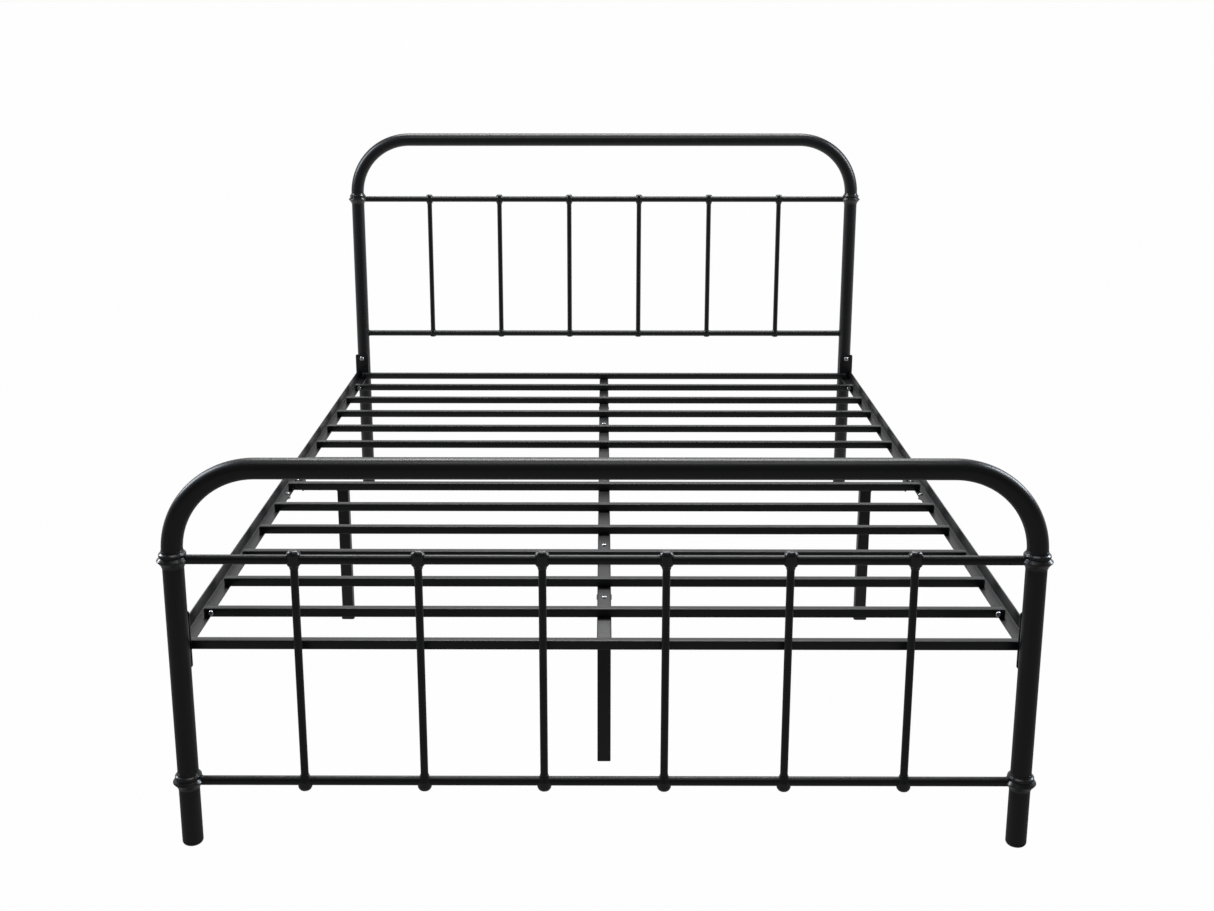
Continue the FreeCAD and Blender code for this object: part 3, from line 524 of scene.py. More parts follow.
def casting_coat():
    """The same coat over rougher castings, a little shinier where it pooled."""
    finish = bpy.context.scene.bed_finish
    return finish_material(
        "casting_coat", tuple(finish.coat), lighter(finish.coat, 0.012),
        roughness=finish.coat_roughness - 0.08, drift=0.05, texture=finish.texture_size * 1.6, bump=0.28,
        depth=0.5 * MM, specular=0.6, coat=0.15,
    )


def black_plastic():
    """Moulded black plastic."""
    finish = bpy.context.scene.bed_finish
    return finish_material(
        "black_plastic", tuple(finish.plastic), lighter(finish.plastic, 0.02),
        roughness=finish.plastic_roughness, drift=0.06, texture=finish.texture_size * 0.6, bump=0.1,
        depth=0.2 * MM,
    )


def zinc_plate():
    """Bright zinc on the bolts and nuts, which dulls to grey in specks."""
    finish = bpy.context.scene.bed_finish
    return finish_material(
        "zinc_plate", tuple(finish.zinc), tuple(finish.dull_zinc), roughness=0.26, drift=0.08,
        texture=0.9 * MM, bump=0.12, depth=0.2 * MM, metallic=1.0,
    )


def dark_oxide():
    """Dark oxide on the washers."""
    finish = bpy.context.scene.bed_finish
    return finish_material(
        "dark_oxide", tuple(finish.oxide), lighter(finish.oxide, 0.03), roughness=0.42, drift=0.06,
        texture=MM, bump=0.15, depth=0.2 * MM, metallic=0.8,
    )


# --- headboard and footboard ----------------------------------------------------------------------


def board_places(board):
    """Centre lines of one board: its plane, half the span of its posts and the radius of its tube."""
    low, high = span_of(f"{board}_arch_tube")
    radius = (high[1] - low[1]) / 2
    return {
        "plane": (high[1] + low[1]) / 2,
        "half_span": high[0] - radius,
        "radius": radius,
        "bottom": low[2],
        "top": high[2] - radius,
    }


def arch_skin(place, bend, around, bend_steps):
    """A round tube carried up one post, round a quarter bend, along the top and down the other post.

    In the bends the centre is the bend's middle plus bend * (cos a, sin a), and the direction of travel
    is (sin a, -cos a) as a falls from half a turn to nought.
    """
    half, top, bottom, plane = (place[key] for key in ("half_span", "top", "bottom", "plane"))
    shoulder = top - bend
    post_steps, top_steps = 12, 14
    rise = np.linspace(bottom, shoulder, post_steps, endpoint=False)
    angle = np.linspace(pi, pi / 2, bend_steps)
    left_x = np.concatenate([np.full(post_steps, -half), bend - half + bend * np.cos(angle)])
    left_z = np.concatenate([rise, shoulder + bend * np.sin(angle)])
    left_angle = np.concatenate([np.full(post_steps, pi), angle])
    top_x = np.linspace(bend - half, half - bend, top_steps + 2)[1:-1]
    x = np.concatenate([left_x, top_x, -left_x[::-1]])
    z = np.concatenate([left_z, np.full(top_steps, top), left_z[::-1]])
    travel = np.concatenate([left_angle, np.full(top_steps, pi / 2), pi - left_angle[::-1]])
    centres = np.column_stack([x, np.full(len(x), plane), z])
    heading = np.column_stack([np.sin(travel), 0 * travel, -np.cos(travel)])
    across = np.tile([0.0, 1.0, 0.0], (len(x), 1))
    along = np.cross(heading, across)
    return skin(carried(circle(place["radius"], around), centres, across, along))


def spindle_columns(board):
    """Distances of the spindles from the middle of the bed."""
    low, high = span_of(f"{board}_spindles")
    radius = (high[1] - low[1]) / 2
    return np.linspace(low[0] + radius, high[0] - radius, SPINDLES)


def rail_height(board, level):
    """Height of a cross rail's centre line."""
    return middle(f"{board}_{level}_rail")[2]


class BuildArchTubes(Operator):
    """Build the bent tubes that are the posts and the arches of both boards"""

    bl_idname = "bed.arch_tubes"
    bl_label = "Arch tubes"

    def execute(self, context):
        sizes = context.scene.bed_sizes
        for board, bend in (("headboard", sizes.head_bend), ("footboard", sizes.foot_bend)):
            item = arch_skin(board_places(board), bend, sizes.round_steps, sizes.bend_steps)
            coated(f"{board}_arch", item, [f"{board}_arch_tube"])
        return {"FINISHED"}


class BuildCrossRails(Operator):
    """Build the cross rails and the spindles of both boards"""

    bl_idname = "bed.cross_rails"
    bl_label = "Cross rails and spindles"

    def execute(self, context):
        around = context.scene.bed_sizes.round_steps // 2
        for board in BOARDS:
            place = board_places(board)
            inside_post = place["radius"] * 0.8
            reach = place["half_span"] - inside_post
            for level in ("upper", "lower"):
                node = f"{board}_{level}_rail"
                height = rail_height(board, level)
                ends = [(side * reach, place["plane"], height) for side in (-1, 1)]
                item = straight(*ends, circle(extent(node)[2] / 2, around), 16)
                coated(f"{board}_{level}_cross_rail", item, [node])
            outline = circle(extent(f"{board}_spindles")[1] / 2, 24)
            lower, upper = (rail_height(board, level) for level in ("lower", "upper"))
            rods = [
                straight((x, place["plane"], lower), (x, place["plane"], upper), outline, 8)
                for x in spindle_columns(board)
            ]
            coated(f"{board}_spindle_rods", joined(rods), [f"{board}_spindles"])
        return {"FINISHED"}


def collar_skin(radius, low, high, rim):
    """A cast collar turned about the post: taper, pointed rim, groove, ring and a short lead-in.

    Each corner of its profile has its distance out from the tube, its height over the rail's centre
    line and its rounding, in millimetres. The profile runs up the outside and back down inside the
    tube's wall.
    """
    sunk, lead = -0.8, 0.5
    corners = [
        (sunk, low, 0),
        (lead, low, 0.2),
        (2.4, low * 0.62, 5),
        (rim, 0, 1.5),
        (3.2, 5.6, 1.0),
        (4.8, 7.6, 1.0),
        (4.6, 11.0, 1.6),
        (1.4, 13.4, 1.2),
        (lead, high, 0.2),
        (sunk, high, 0),
    ]
    profile = [(radius + out * MM, height * MM, rounding * MM) for out, height, rounding in corners]
    return hoop(lathe_rings(rounded_outline(profile, 6), 56))


class BuildCollars(Operator):
    """Build the cast collars where the rails meet the posts"""

    bl_idname = "bed.collars"
    bl_label = "Collars"

    def execute(self, context):
        for node, board in (
            ("headboard_collars", "headboard"),
            ("footboard_upper_collars", "footboard"),
            ("footboard_lower_collars", "footboard"),
        ):
            place = board_places(board)
            low, high = span_of(node)
            level = "lower" if "lower" in node else "upper"
            height = rail_height(board, level)
            rim = (high[1] - low[1]) / 2 - place["radius"]
            item = collar_skin(place["radius"], (low[2] - height) / MM, (high[2] - height) / MM, rim / MM)
            pair = [moved(item, (side * place["half_span"], place["plane"], height)) for side in (-1, 1)]
            cast(f"{node}_cast", joined(pair), [node])
        return {"FINISHED"}


def knuckle_profile(kind, spindle):
    """Radius and height along a knuckle's side, from below upwards, measured from the rail's centre line.

    dome: a half ball over the rail on a skirt that narrows to the spindle. ball: a ball round the rail
    with a flared neck above. bead: a small bead over the rail. swell: a slight swelling. Each corner
    has its radius, height and rounding in millimetres; the lip stands just proud of the spindle.
    """
    lip = spindle / MM + 0.7
    shapes = {
        "dome": [(0, -15.8, 0), (lip, -15.8, 0.3), (8.2, -11.5, 3), (11.2, -8.5, 3), (12, 0, 3),
                 (11.6, 9.5, 5), (8.2, 15.9, 6), (0, 15.9, 0)],
        "ball": [(0, -16.9, 0), (8.8, -16.9, 6.5), (11.9, -10.5, 5), (11.9, 0.5, 5), (8.9, 6.2, 4),
                 (lip, 11.8, 0.4), (0, 11.8, 0)],
        "bead": [(0, -13.8, 0), (lip, -13.8, 0.3), (9.6, -7, 3), (9.8, 5, 3), (8.0, 12.8, 5), (0, 12.8, 0)],
        "swell": [(0, -9.8, 0), (8.6, -9.8, 3), (9.7, 0, 5), (lip, 9.8, 0.5), (0, 9.8, 0)],
    }
    corners = [(radius * MM, height * MM, rounding * MM) for radius, height, rounding in shapes[kind]]
    return rounded_outline(corners, 6)


class BuildKnuckles(Operator):
    """Build the cast knuckles where the spindles meet the rails"""

    bl_idname = "bed.knuckles"
    bl_label = "Knuckles"

    def execute(self, context):
        kinds = {
            ("headboard", "upper"): "bead",
            ("headboard", "lower"): "swell",
            ("footboard", "upper"): "dome",
            ("footboard", "lower"): "ball",
        }
        for (board, level), kind in kinds.items():
            spindle = extent(f"{board}_spindles")[1] / 2
            item = lathe(knuckle_profile(kind, spindle), 36)
            height = rail_height(board, level)
            plane = board_places(board)["plane"]
            row = [moved(item, (x, plane, height)) for x in spindle_columns(board)]
            node = f"{board}_{level}_knuckles"
            cast(f"{node}_cast", joined(row), [node])
        return {"FINISHED"}


class BuildPostFeet(Operator):
    """Build the rounded plastic feet of the posts"""

    bl_idname = "bed.post_feet"
    bl_label = "Post feet"

    def execute(self, context):
        for board in BOARDS:
            place = board_places(board)
            radius, top = place["radius"], place["bottom"]
            plug, cone, step = radius - 2 * MM, 4 * MM, 0.25 * MM
            corners = [
                (0, 0, 0),
                (radius, 0, 7 * MM),
                (radius, top - step, 0.4 * MM),
                (plug, top, 0),
                (0, top + cone, 0),
            ]
            item = lathe(rounded_outline(corners, 8), 64)
            pair = [moved(item, (side * place["half_span"], place["plane"], 0)) for side in (-1, 1)]
            plastic(f"{board}_foot_caps", joined(pair), [f"{board}_feet"])
        return {"FINISHED"}


# --- side rails and slats -------------------------------------------------------------------------


def angle_skin(node, beside, wall, toe):
    """A length of steel angle that fills a rail's box along the bed, on the bed's right.

    Its section is an L with its flange at the bottom and a rounded root. The middle of the flange is at
    beside, so the flange's inner edge is at 2 * beside - the upright's outer face.
    """
    low, high = span_of(node)
    outer = max(abs(low[0]), abs(high[0]))
    inner = 2 * abs(beside) - outer
    bottom, top = low[2], high[2]
    heel, root = 1.4 * MM, 2.5 * MM
    section = rounded_outline(
        [
            (inner, bottom, toe),
            (outer, bottom, heel),
            (outer, top, toe),
            (outer - wall, top, toe),
            (outer - wall, bottom + wall, root),
            (inner, bottom + wall, toe),
        ]
    )
    x, z = section.T
    return skin(np.stack([np.column_stack([x, y + 0 * x, z]) for y in np.linspace(high[1], low[1], 14)]))


def ear_skin(end):
    """The upright ear that a tied slat is bolted to, on the slat's side nearer the middle of the bed."""
    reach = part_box("tie_bolts")[1][0] - extent("tie_bolts")[2] / 2
    low, high = span_of("slat_02" if end == "foot" else "slat_13")
    wide, gap, corner, edge = 16 * MM, 0.3 * MM, 2.2 * MM, 0.4 * MM
    ear = soft_block((wide, high[2] - low[2] - gap, EAR_WALL), corner, edge, "+Y")
    face = high[1] + EAR_WALL / 2 if end == "foot" else low[1] - EAR_WALL / 2
    return moved(ear, (reach, face, (low[2] + high[2]) / 2))


class BuildSideRails(Operator):
    """Build the four steel angle halves of the side rails, with their ears"""

    bl_idname = "bed.side_rails"
    bl_label = "Side rails"

    def execute(self, context):
        sizes = context.scene.bed_sizes
        for side in SIDES:
            beside = middle(f"{side}_splice_bar")[0]
            for end in ENDS:
                node = f"{side}_rail_{end}_half"
                item = joined([angle_skin(node, beside, sizes.angle_wall, sizes.angle_toe), ear_skin(end)])
                coated(f"{side}_{end}_side_rail", item if side == "right" else mirrored(item, 0), [node])
        return {"FINISHED"}


def plug_skin(node, plug_end, corner):
    """The plug in a slat's right end: its head, and the peg below that keys into the rail's flange."""
    low, high = span_of(node)
    _, deep, tall = extent(node)
    slat_end = high[0]
    thick = plug_end - slat_end
    across, along, height = slat_end + thick / 2, middle(node)[1], middle(node)[2]
    less, edge = 0.2 * MM, 0.9 * MM
    plug = moved(soft_block((tall - less, deep - less, thick), corner, edge, "+X"), (across, along, height))
    peg_deep, peg_high, peg_corner, peg_edge = 8 * MM, 6 * MM, 0.4 * MM, 0.3 * MM
    peg = soft_block((thick, peg_deep, peg_high), peg_corner, peg_edge)
    return joined([plug, moved(peg, (across, along, low[2] - peg_high / 2 + less))])


class BuildSlats(Operator):
    """Build the slats and the plugs in their ends"""

    bl_idname = "bed.slats"
    bl_label = "Slats"

    def execute(self, context):
        corner = context.scene.bed_sizes.slat_corner
        plug_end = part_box("slat_end_plugs")[1][0]
        plugs = []
        for number in range(1, SLATS + 1):
            node = f"slat_{number:02d}"
            coated(f"{node}_tube", block_over(node, corner, "+X"), [node])
            plug = plug_skin(node, plug_end, corner)
            plugs += [plug, mirrored(plug, 0)]
        plastic("slat_end_caps", joined(plugs), ["slat_end_plugs"])
        return {"FINISHED"}


# --- crossbar, beam and legs ----------------------------------------------------------------------


class BuildUnderframe(Operator):
    """Build the crossbar, the centre beam, the legs and their caps"""

    bl_idname = "bed.underframe"
    bl_label = "Crossbar, beam and legs"

    def execute(self, context):
        corner = context.scene.bed_sizes.bar_corner
        coated("crossbar_tube", block_over("middle_crossbar", corner, "+X"), ["middle_crossbar"])
        for end in ENDS:
            node = f"centre_beam_{end}_half"
            coated(f"centre_beam_{end}_tube", block_over(node, corner, "+Y"), [node])
            leg = f"{end}_centre_leg"
            coated(f"{leg}_tube", block_over(leg, corner, "+Z"), [leg])
        for side in SIDES:
            leg = f"{side}_middle_leg"
            coated(f"{leg}_tube", block_over(leg, corner, "+Z"), [leg])
        self.build_caps(corner)
        return {"FINISHED"}

    def build_caps(self, corner):
        """Plastic caps: on the beam's ends, under the centre legs and round the middle legs."""
        less, thick, edge = 0.1 * MM, 2 * MM, 0.7 * MM
        wide, _, tall = extent("centre_beam_foot_half") - less
        low, high = span_of("centre_beam_end_plugs")
        height = (low[2] + high[2]) / 2
        cap = soft_block((wide, tall, thick), corner, edge, "+Y")
        ends = [moved(cap, (0, y, height)) for y in (low[1] + thick / 2, high[1] - thick / 2)]
        plastic("centre_beam_caps", joined(ends), ["centre_beam_end_plugs"])
        cap = moved(soft_block((wide, wide, thick), corner, edge), (0, 0, thick / 2))
        feet = [moved(cap, middle(f"{end}_centre_leg") * (1, 1, 0)) for end in ENDS]
        plastic("centre_leg_caps", joined(feet), ["centre_leg_plugs"])
        _, wide, tall = extent("middle_leg_shoes")
        shoe = shoe_skin(wide, tall)
        pair = [moved(shoe, middle(f"{side}_middle_leg") * (1, 1, 0)) for side in SIDES]
        plastic("middle_leg_shoe_caps", joined(pair), ["middle_leg_shoes"])


def shoe_skin(wide, tall):
    """A square shoe: rounded tread below, straight sides and a soft rim above.

    The tread draws in by tread * (1 - sin a) as it rises by tread * (1 - cos a), and the rim draws in
    by rim * (1 - cos a) as it rises by rim * sin a.
    """
    tread, rim, corner = 2.5 * MM, 1 * MM, 5 * MM
    turn = np.linspace(0, pi / 2, 7)
    inset = np.concatenate([tread * (1 - np.sin(turn)), rim * (1 - np.cos(turn))])
    level = np.concatenate([tread * (1 - np.cos(turn)), tall - rim + rim * np.sin(turn)])
    rings = [
        with_height(rounded_rectangle(wide - 2 * draw, wide - 2 * draw, max(corner - draw, MM)), height)
        for draw, height in zip(inset, level)
    ]
    return skin(np.stack(rings))


# --- fasteners ------------------------------------------------------------------------------------

# A button-head bolt: the radius of its head, how far the head rises, and the radius of its shank.
Bolt = namedtuple("Bolt", "head rise shank")
POST_BOLT = Bolt(6.5 * MM, 4 * MM, 4 * MM)
SMALL_BOLT = Bolt(5 * MM, 3 * MM, 3 * MM)
HANGER_WALL = 3 * MM
SPLICE_NEAR = 28 * MM  # from mid-length to the nearer splice bolt
STRAP_EDGE = 14 * MM  # from a centre leg strap's end to its bolt
SLEEVE_BOLT = 45.5 * MM  # from slat 8 to the bolt in the beam's sleeve


def hexagon_radius(angle, flat):
    """Distance from a hexagon's middle to its side: flat / cos(angle from the middle of that side)."""
    return flat / np.cos((angle + pi / 6) % (pi / 3) - pi / 6)


def socket_bolt(bolt, reach):
    """A button-head bolt: shank, domed head and a six-sided socket sunk in the top.

    Rings run up the outside and down into the socket, where the radius follows a hexagon. Over the
    dome the radius falls from the head's to the rim's as cos a, while the height rises as sin a.
    """
    angle = full_turn(36)
    turn = np.linspace(0, 0.8 * pi / 2, 6)[1:]
    socket, tip, brim = bolt.head * 0.42, 0.5 * MM, 0.12
    rim = socket * 1.25
    rows = [
        (bolt.shank * 0.85, -reach),
        (bolt.shank, tip - reach),
        (bolt.shank, 0),
        (bolt.head * 0.97, 0),
        (bolt.head, bolt.rise * brim),
    ]
    full = np.sin(turn[-1])
    for a in turn:
        rows.append((rim + (bolt.head - rim) * np.cos(a), bolt.rise * (brim + (1 - brim) * np.sin(a) / full)))
    rows += [
        (rim, bolt.rise),
        (hexagon_radius(angle, socket), bolt.rise),
        (hexagon_radius(angle, socket * 0.96), bolt.rise * 0.4),
    ]
    return pointed(with_radii(rows, angle), (0, 0, -reach), (0, 0, bolt.rise * 0.3))


def hexagon_nut(flat, bore, high):
    """A six-sided nut with a chamfered crown and a bore.

    The outline's radius follows a hexagon, cut off near both faces by a circle, and the bore is round.
    """
    angle = full_turn(48)
    hexagon = hexagon_radius(angle, flat)
    crown = np.minimum(hexagon, flat * 1.02)
    waist = np.minimum(hexagon, flat * 1.16)
    drop, mouth = 0.12 * high, bore * 1.1
    rows = [
        (crown, 0),
        (waist, drop),
        (waist, high - drop),
        (crown, high),
        (mouth, high),
        (bore, high - drop),
        (bore, drop),
        (mouth, 0),
    ]
    return hoop(with_radii(rows, angle))


class BuildFasteners(Operator):
    """Build the bolts, nuts and washers"""

    bl_idname = "bed.fasteners"
    bl_label = "Bolts, nuts and washers"

    def execute(self, context):
        self.build_post_bolts()
        self.build_tie_bolts()
        self.build_splice_bolts()
        self.build_nuts()
        self.build_beam_bolts()
        return {"FINISHED"}

    def build_post_bolts(self):
        """Two bolts in each end plate, along the bed."""
        low, high = span_of("post_bolts")
        face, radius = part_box("footboard_end_plates")[1][1], POST_BOLT.head
        bolt = turned_to(socket_bolt(POST_BOLT, 12 * MM), "+Y")
        quarter = [moved(bolt, (high[0] - radius, face, z)) for z in (low[2] + radius, high[2] - radius)]
        zinc("post_bolt_set", four_corners(joined(quarter)), ["post_bolts"])

    def build_tie_bolts(self):
        """One bolt with a washer at each tied slat's ends."""
        low, high = span_of("tie_bolts")
        radius = (high[2] - low[2]) / 2
        across, height = high[0] - radius, (high[2] + low[2]) / 2
        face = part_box("tie_washers")[0][1]
        bolt = turned_to(socket_bolt(SMALL_BOLT._replace(head=radius), 24 * MM), "-Y")
        zinc("tie_bolt_set", four_corners(moved(bolt, (across, face, height))), ["tie_bolts"])
        bore, outer, thick = 3.25 * MM, 6.5 * MM, 1 * MM
        soft, crisp = 0.35 * MM, 0.1 * MM
        corners = [(bore, 0, crisp), (outer, 0, soft), (outer, thick, soft), (bore, thick, crisp)]
        washer = turned_to(hoop(lathe_rings(rounded_outline(corners, 3), 36)), "-Y")
        washer = moved(washer, (across, face + thick, height))
        make_piece("tie_washer_set", four_corners(washer), dark_oxide(), ["tie_washers"])

    def build_splice_bolts(self):
        """Four bolts down through each splice."""
        low, high = span_of("splice_bolts")
        bolt = socket_bolt(SMALL_BOLT, 12 * MM)
        across, top = high[0] - SMALL_BOLT.head, high[2] - SMALL_BOLT.rise
        quarter = [moved(bolt, (across, y, top)) for y in (-SPLICE_NEAR, low[1] + SMALL_BOLT.head)]
        zinc("splice_bolt_set", four_corners(joined(quarter)), ["splice_bolts"])

    def build_nuts(self):
        """A nut under each splice bolt, behind each tie bolt's ear and under each bolt in the beam."""
        flat, high = SMALL_BOLT.head, 5 * MM
        nut = hexagon_nut(flat, SMALL_BOLT.shank, high)
        splice_low, splice_high = span_of("splice_bolts")
        across, far = splice_high[0] - flat, splice_low[1] + flat
        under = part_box("left_splice_bar")[0][2] - high
        tie_low, tie_high = span_of("tie_bolts")
        behind_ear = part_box("slat_02")[1][1] + EAR_WALL
        quarter = [
            moved(nut, (across, far, under)),
            moved(nut, (across, -SPLICE_NEAR, under - HANGER_WALL)),
            moved(turned_to(nut, "+Y"), (tie_high[0] - flat, behind_ear, (tie_low[2] + tie_high[2]) / 2)),
        ]
        beam = [moved(nut, (0, y, z - high)) for y, z in beam_bolt_rows()]
        zinc("nut_set", joined([four_corners(joined(quarter)), *beam]), ["small_nuts"])

    def build_beam_bolts(self):
        """Upright bolts through the centre beam, each of which ends below its nut."""
        top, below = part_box("beam_bolts")[1][2] - SMALL_BOLT.rise, 6 * MM
        items = [
            moved(socket_bolt(SMALL_BOLT, top - z + below), (0, y, top)) for y, z in beam_bolt_rows()
        ]
        zinc("beam_bolt_set", joined(items), ["beam_bolts"])


def beam_bolt_rows():
    """Distance along the bed of each bolt through the beam, and the height of the face under it."""
    strap_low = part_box("centre_leg_straps")[0]
    near = strap_low[1] + STRAP_EDGE
    far = (middle("slat_04")[1] + middle("slat_05")[1]) / 2
    straps = [(sign * y, strap_low[2]) for sign in (1, -1) for y in (near, far)]
    crossing = (0.0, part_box("middle_crossbar")[0][2])
    sleeve = (middle("slat_08")[1] + SLEEVE_BOLT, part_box("centre_beam_foot_half")[0][2])
    return [*straps, crossing, sleeve]


# --- welds and carried-over plates ----------------------------------------------------------------


def bead_along(path, outward, bead, ripples):
    """A weld bead: a small circle carried round a closed path, whose radius swells and shrinks in ripples.

    Radius is bead * (1 + 0.09 * cos(ripples * angle round the path)).
    """
    heading = np.roll(path, -1, axis=0) - np.roll(path, 1, axis=0)
    heading /= np.linalg.norm(heading, axis=1, keepdims=True)
    across = outward - np.sum(outward * heading, axis=1, keepdims=True) * heading
    across /= np.linalg.norm(across, axis=1, keepdims=True)
    along = np.cross(heading, across)
    swell = 1 + 0.09 * np.cos(ripples * full_turn(len(path)))[:, None]
    return hoop(carried(circle(bead, 10), path, across * swell, along * swell))


def saddle(post_radius, rail_radius):
    """The line where a rail along +X leaves a post about Z, with its outward directions.

    Y and Z go round the rail, and x is the post's edge there: sqrt(post radius squared - y squared).
    """
    angle = full_turn(96)
    y, z = rail_radius * np.cos(angle), rail_radius * np.sin(angle)
    x = np.sqrt(post_radius**2 - y**2)
    outward = np.column_stack([np.full(len(angle), 0.8), np.cos(angle), np.sin(angle)])
    return np.column_stack([x, y, z]), outward


def square_path(wide, corner):
    """A level rounded square as a path, with its outward directions."""
    outline = rounded_rectangle(wide, wide, corner, 8)
    outward = outline / np.linalg.norm(outline, axis=1, keepdims=True)
    return with_height(outline, 0), with_height(outward, 0)


class BuildWelds(Operator):
    """Build the weld beads at the joints that show"""

    bl_idname = "bed.welds"
    bl_label = "Weld beads"

    def execute(self, context):
        sizes = context.scene.bed_sizes
        bead, proud = sizes.weld_bead * 0.8, 0.2
        place = board_places("headboard")
        path, outward = saddle(place["radius"], extent("headboard_lower_rail")[2] / 2)
        ring = bead_along(path + outward * proud * MM, outward, bead, 22)
        left = moved(ring, (-place["half_span"], place["plane"], rail_height("headboard", "lower")))
        beads = [left, mirrored(left, 0)]
        collar = bead_along(*square_path(extent("middle_crossbar")[1], sizes.bar_corner), bead, 40)
        joints = [(f"{side}_middle_leg", "middle_crossbar") for side in SIDES]
        joints += [(f"{end}_centre_leg", "centre_leg_straps") for end in ENDS]
        for leg, over in joints:
            beads.append(moved(collar, middle(leg) * (1, 1, 0) + (0, 0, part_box(over)[0][2])))
        coated("weld_beads", joined(beads))
        return {"FINISHED"}


class FinishPlates(Operator):
    """Give the plates, straps and inserts kept from the solids their finish"""

    bl_idname = "bed.plates"
    bl_label = "Plates and straps"

    def execute(self, context):
        plates = [f"{board}_end_plates" for board in BOARDS] + [f"{side}_splice_bar" for side in SIDES]
        plates += ["crossbar_hangers", "centre_leg_straps", "centre_beam_sleeve"]
        for name, material in [(name, powder_coat()) for name in plates] + [("post_inserts", zinc_plate())]:
            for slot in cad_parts[name].material_slots:
                slot.material = material
        return {"FINISHED"}


# --- stage ----------------------------------------------------------------------------------------

CAMERA_SPOT = (-0.00234, -3.2291, 1.36496)
LOOK_DOWN = 13.982  # degrees below level
LOOK_LEFT = 0.217  # degrees from straight along the bed
LENS = 43.83
SHIFT = (0.0077, -0.058)
FADE = (-1.2, 2.6)  # where along the bed the floor's thrown light starts and stops rising


def floor_material(shade, near, far):
    """Pale floor paint that looks evenly lit, and throws more light onto the bed from behind than in front.

    The light it throws rises smoothly with the distance behind the foot end, from near to far.
    """
    material = bpy.data.materials.new("floor_paint")
    material.use_nodes = True
    tree = material.node_tree
    tree.nodes.clear()
    seen = tree.nodes.new("ShaderNodeEmission")
    seen.inputs["Color"].default_value = (*shade, 1)
    place = tree.nodes.new("ShaderNodeTexCoord")
    axes = tree.nodes.new("ShaderNodeSeparateXYZ")
    fade = tree.nodes.new("ShaderNodeMapRange")
    fade.interpolation_type = "SMOOTHSTEP"
    for socket, bound in (("From Min", FADE[0]), ("From Max", FADE[1]), ("To Min", near), ("To Max", far)):
        fade.inputs[socket].default_value = bound
    tree.links.new(place.outputs["Object"], axes.inputs[0])
    tree.links.new(axes.outputs["Y"], fade.inputs["Value"])
    bounce = tree.nodes.new("ShaderNodeEmission")
    tree.links.new(fade.outputs["Result"], bounce.inputs["Strength"])
    mix = tree.nodes.new("ShaderNodeMixShader")
    output = tree.nodes.new("ShaderNodeOutputMaterial")
    path = tree.nodes.new("ShaderNodeLightPath")
    tree.links.new(path.outputs["Is Camera Ray"], mix.inputs[0])
    tree.links.new(bounce.outputs[0], mix.inputs[1])
    tree.links.new(seen.outputs[0], mix.inputs[2])
    tree.links.new(mix.outputs[0], output.inputs["Surface"])
    return material


def floor_skin():
    """A level floor that sweeps up behind the bed: a flat run, a quarter bend and a wall.

    In the bend the distance grows by bend * sin a and the height by bend * (1 - cos a).
    """
    front, flat, bend, wall, half = -9.0, 7.0, 3.0, 5.0, 12.0
    angle = np.linspace(0, pi / 2, 24)
    y = np.concatenate([[front], flat + bend * np.sin(angle), [flat + bend]])
    z = np.concatenate([[0.0], bend * (1 - np.cos(angle)), [bend + wall]])
    edges = [np.column_stack([side + 0 * y, y, z]) for side in (-half, half)]
    points = np.stack(edges, axis=1).reshape(-1, 3)
    row = np.arange(len(y) - 1)
    quads = np.stack([2 * row, 2 * row + 1, 2 * row + 3, 2 * row + 2], axis=-1)
    return Skin(points, quads, [])


def add_softbox(name, power, size, location, aim, tint=(1, 1, 1)):
    """An area light that faces a height over the middle of the bed."""
    data = bpy.data.lights.new(name, "AREA")
    data.energy = power
    data.color = tint
    data.shape = "RECTANGLE"
    data.size, data.size_y = size
    lamp = bpy.data.objects.new(name, data)
    lamp.location = location
    lamp.rotation_euler = (Vector(location) - Vector((0, 0, aim))).to_track_quat("Z", "Y").to_euler()
    lamp.visible_camera = False
    bpy.context.collection.objects.link(lamp)


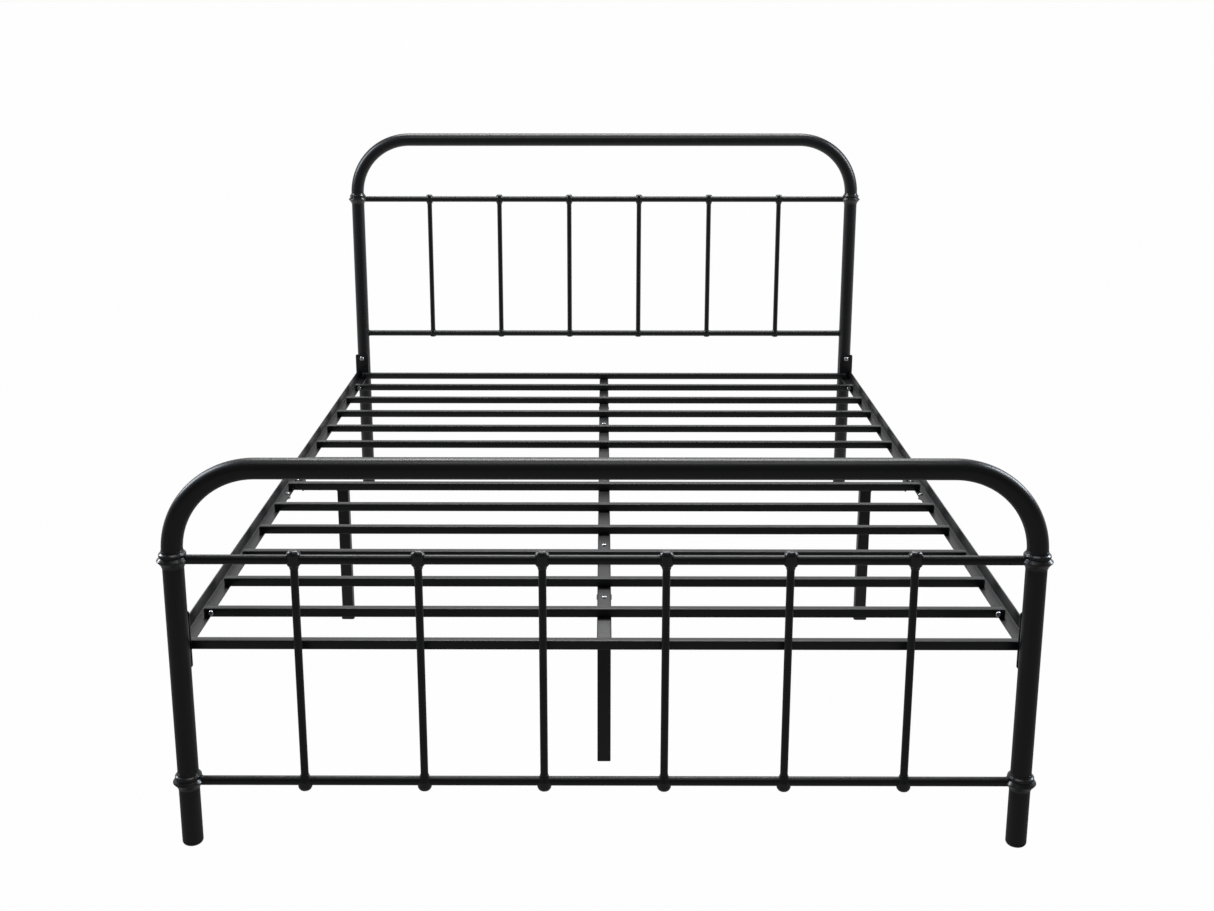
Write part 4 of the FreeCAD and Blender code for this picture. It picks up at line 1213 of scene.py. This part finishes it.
class BuildStage(Operator):
    """Build the floor, the lights and the camera"""

    bl_idname = "bed.stage"
    bl_label = "Stage"

    def execute(self, context):
        scene = context.scene
        studio = scene.bed_studio
        self.add_floor(studio)
        high, low, cool = 0.4, 0.6, (0.84, 0.91, 1.0)
        add_softbox("key_softbox", studio.key, (3.4, 1.4), (0.0, 2.2, 4.2), high)
        add_softbox("front_softbox", studio.key * 0.12, (2.4, 1.0), (0.0, -1.4, 3.9), high)
        add_softbox("left_softbox", studio.side, (0.5, 2.2), (-3.3, 0.6, 2.4), low, cool)
        add_softbox("right_softbox", studio.side, (0.5, 2.2), (3.3, 0.6, 2.4), low, cool)
        scene.world = self.even_light(studio.ambient)
        scene.view_settings.view_transform = "Standard"
        scene.camera = self.add_camera(scene)
        return {"FINISHED"}

    def add_floor(self, studio):
        """The pale floor and backdrop under and behind the bed."""
        item = floor_skin()
        mesh = bpy.data.meshes.new("floor")
        mesh.from_pydata(item.points.tolist(), [], item.quads.tolist())
        mesh.polygons.foreach_set("use_smooth", np.ones(len(mesh.polygons), dtype=bool))
        mesh.materials.append(floor_material(tuple(studio.floor), studio.near_bounce, studio.far_bounce))
        backdrop = bpy.data.objects.new("floor", mesh)
        bpy.context.collection.objects.link(backdrop)

    def even_light(self, ambient):
        """A world that looks white and lights the bed evenly with the ambient strength."""
        world = bpy.data.worlds.new("even_light")
        world.use_nodes = True
        tree = world.node_tree
        background = tree.nodes["Background"]
        background.inputs["Color"].default_value = (1, 1, 1, 1)
        path = tree.nodes.new("ShaderNodeLightPath")
        strength = tree.nodes.new("ShaderNodeMix")
        strength.inputs[2].default_value = ambient
        strength.inputs[3].default_value = 1.0
        tree.links.new(path.outputs["Is Camera Ray"], strength.inputs[0])
        tree.links.new(strength.outputs[0], background.inputs["Strength"])
        return world

    def add_camera(self, scene):
        """A camera at standing height in front of the foot end, looking a little down."""
        data = bpy.data.cameras.new("camera")
        data.sensor_fit = "HORIZONTAL"
        data.sensor_width = 36
        data.lens = LENS
        data.shift_x, data.shift_y = SHIFT
        data.clip_end = 60
        camera = bpy.data.objects.new("camera", data)
        tilt = Matrix.Rotation(radians(90 - LOOK_DOWN), 4, "X")
        heading = Matrix.Rotation(radians(LOOK_LEFT), 4, "Z")
        camera.matrix_world = Matrix.Translation(CAMERA_SPOT) @ heading @ tilt
        scene.collection.objects.link(camera)
        return camera


# --- panel and running ----------------------------------------------------------------------------

BUILDERS = (
    BuildArchTubes,
    BuildCrossRails,
    BuildCollars,
    BuildKnuckles,
    BuildPostFeet,
    BuildSideRails,
    BuildSlats,
    BuildUnderframe,
    BuildFasteners,
    BuildWelds,
    FinishPlates,
    BuildStage,
)


class BedPanel(Panel):
    """Sizes, colours and builders of the bed frame"""

    bl_idname = "VIEW3D_PT_bed_frame"
    bl_label = "Bed Frame"
    bl_space_type = "VIEW_3D"
    bl_region_type = "UI"
    bl_category = "Bed Frame"

    def draw(self, context):
        layout = self.layout
        for settings in (context.scene.bed_sizes, context.scene.bed_finish, context.scene.bed_studio):
            box = layout.box()
            for name in settings.__annotations__:
                box.prop(settings, name)
        for builder in BUILDERS:
            layout.operator(builder.bl_idname)


CLASSES = (BedSizes, BedFinish, BedStudio, *BUILDERS, BedPanel)


def register():
    for item in CLASSES:
        bpy.utils.register_class(item)
    bpy.types.Scene.bed_sizes = PointerProperty(type=BedSizes)
    bpy.types.Scene.bed_finish = PointerProperty(type=BedFinish)
    bpy.types.Scene.bed_studio = PointerProperty(type=BedStudio)


def unregister():
    del bpy.types.Scene.bed_studio
    del bpy.types.Scene.bed_finish
    del bpy.types.Scene.bed_sizes
    for item in reversed(CLASSES):
        bpy.utils.unregister_class(item)


def main():
    register()
    for builder in BUILDERS:
        group, name = builder.bl_idname.split(".")
        getattr(getattr(bpy.ops, group), name)()


if __name__ == "__main__":
    main()
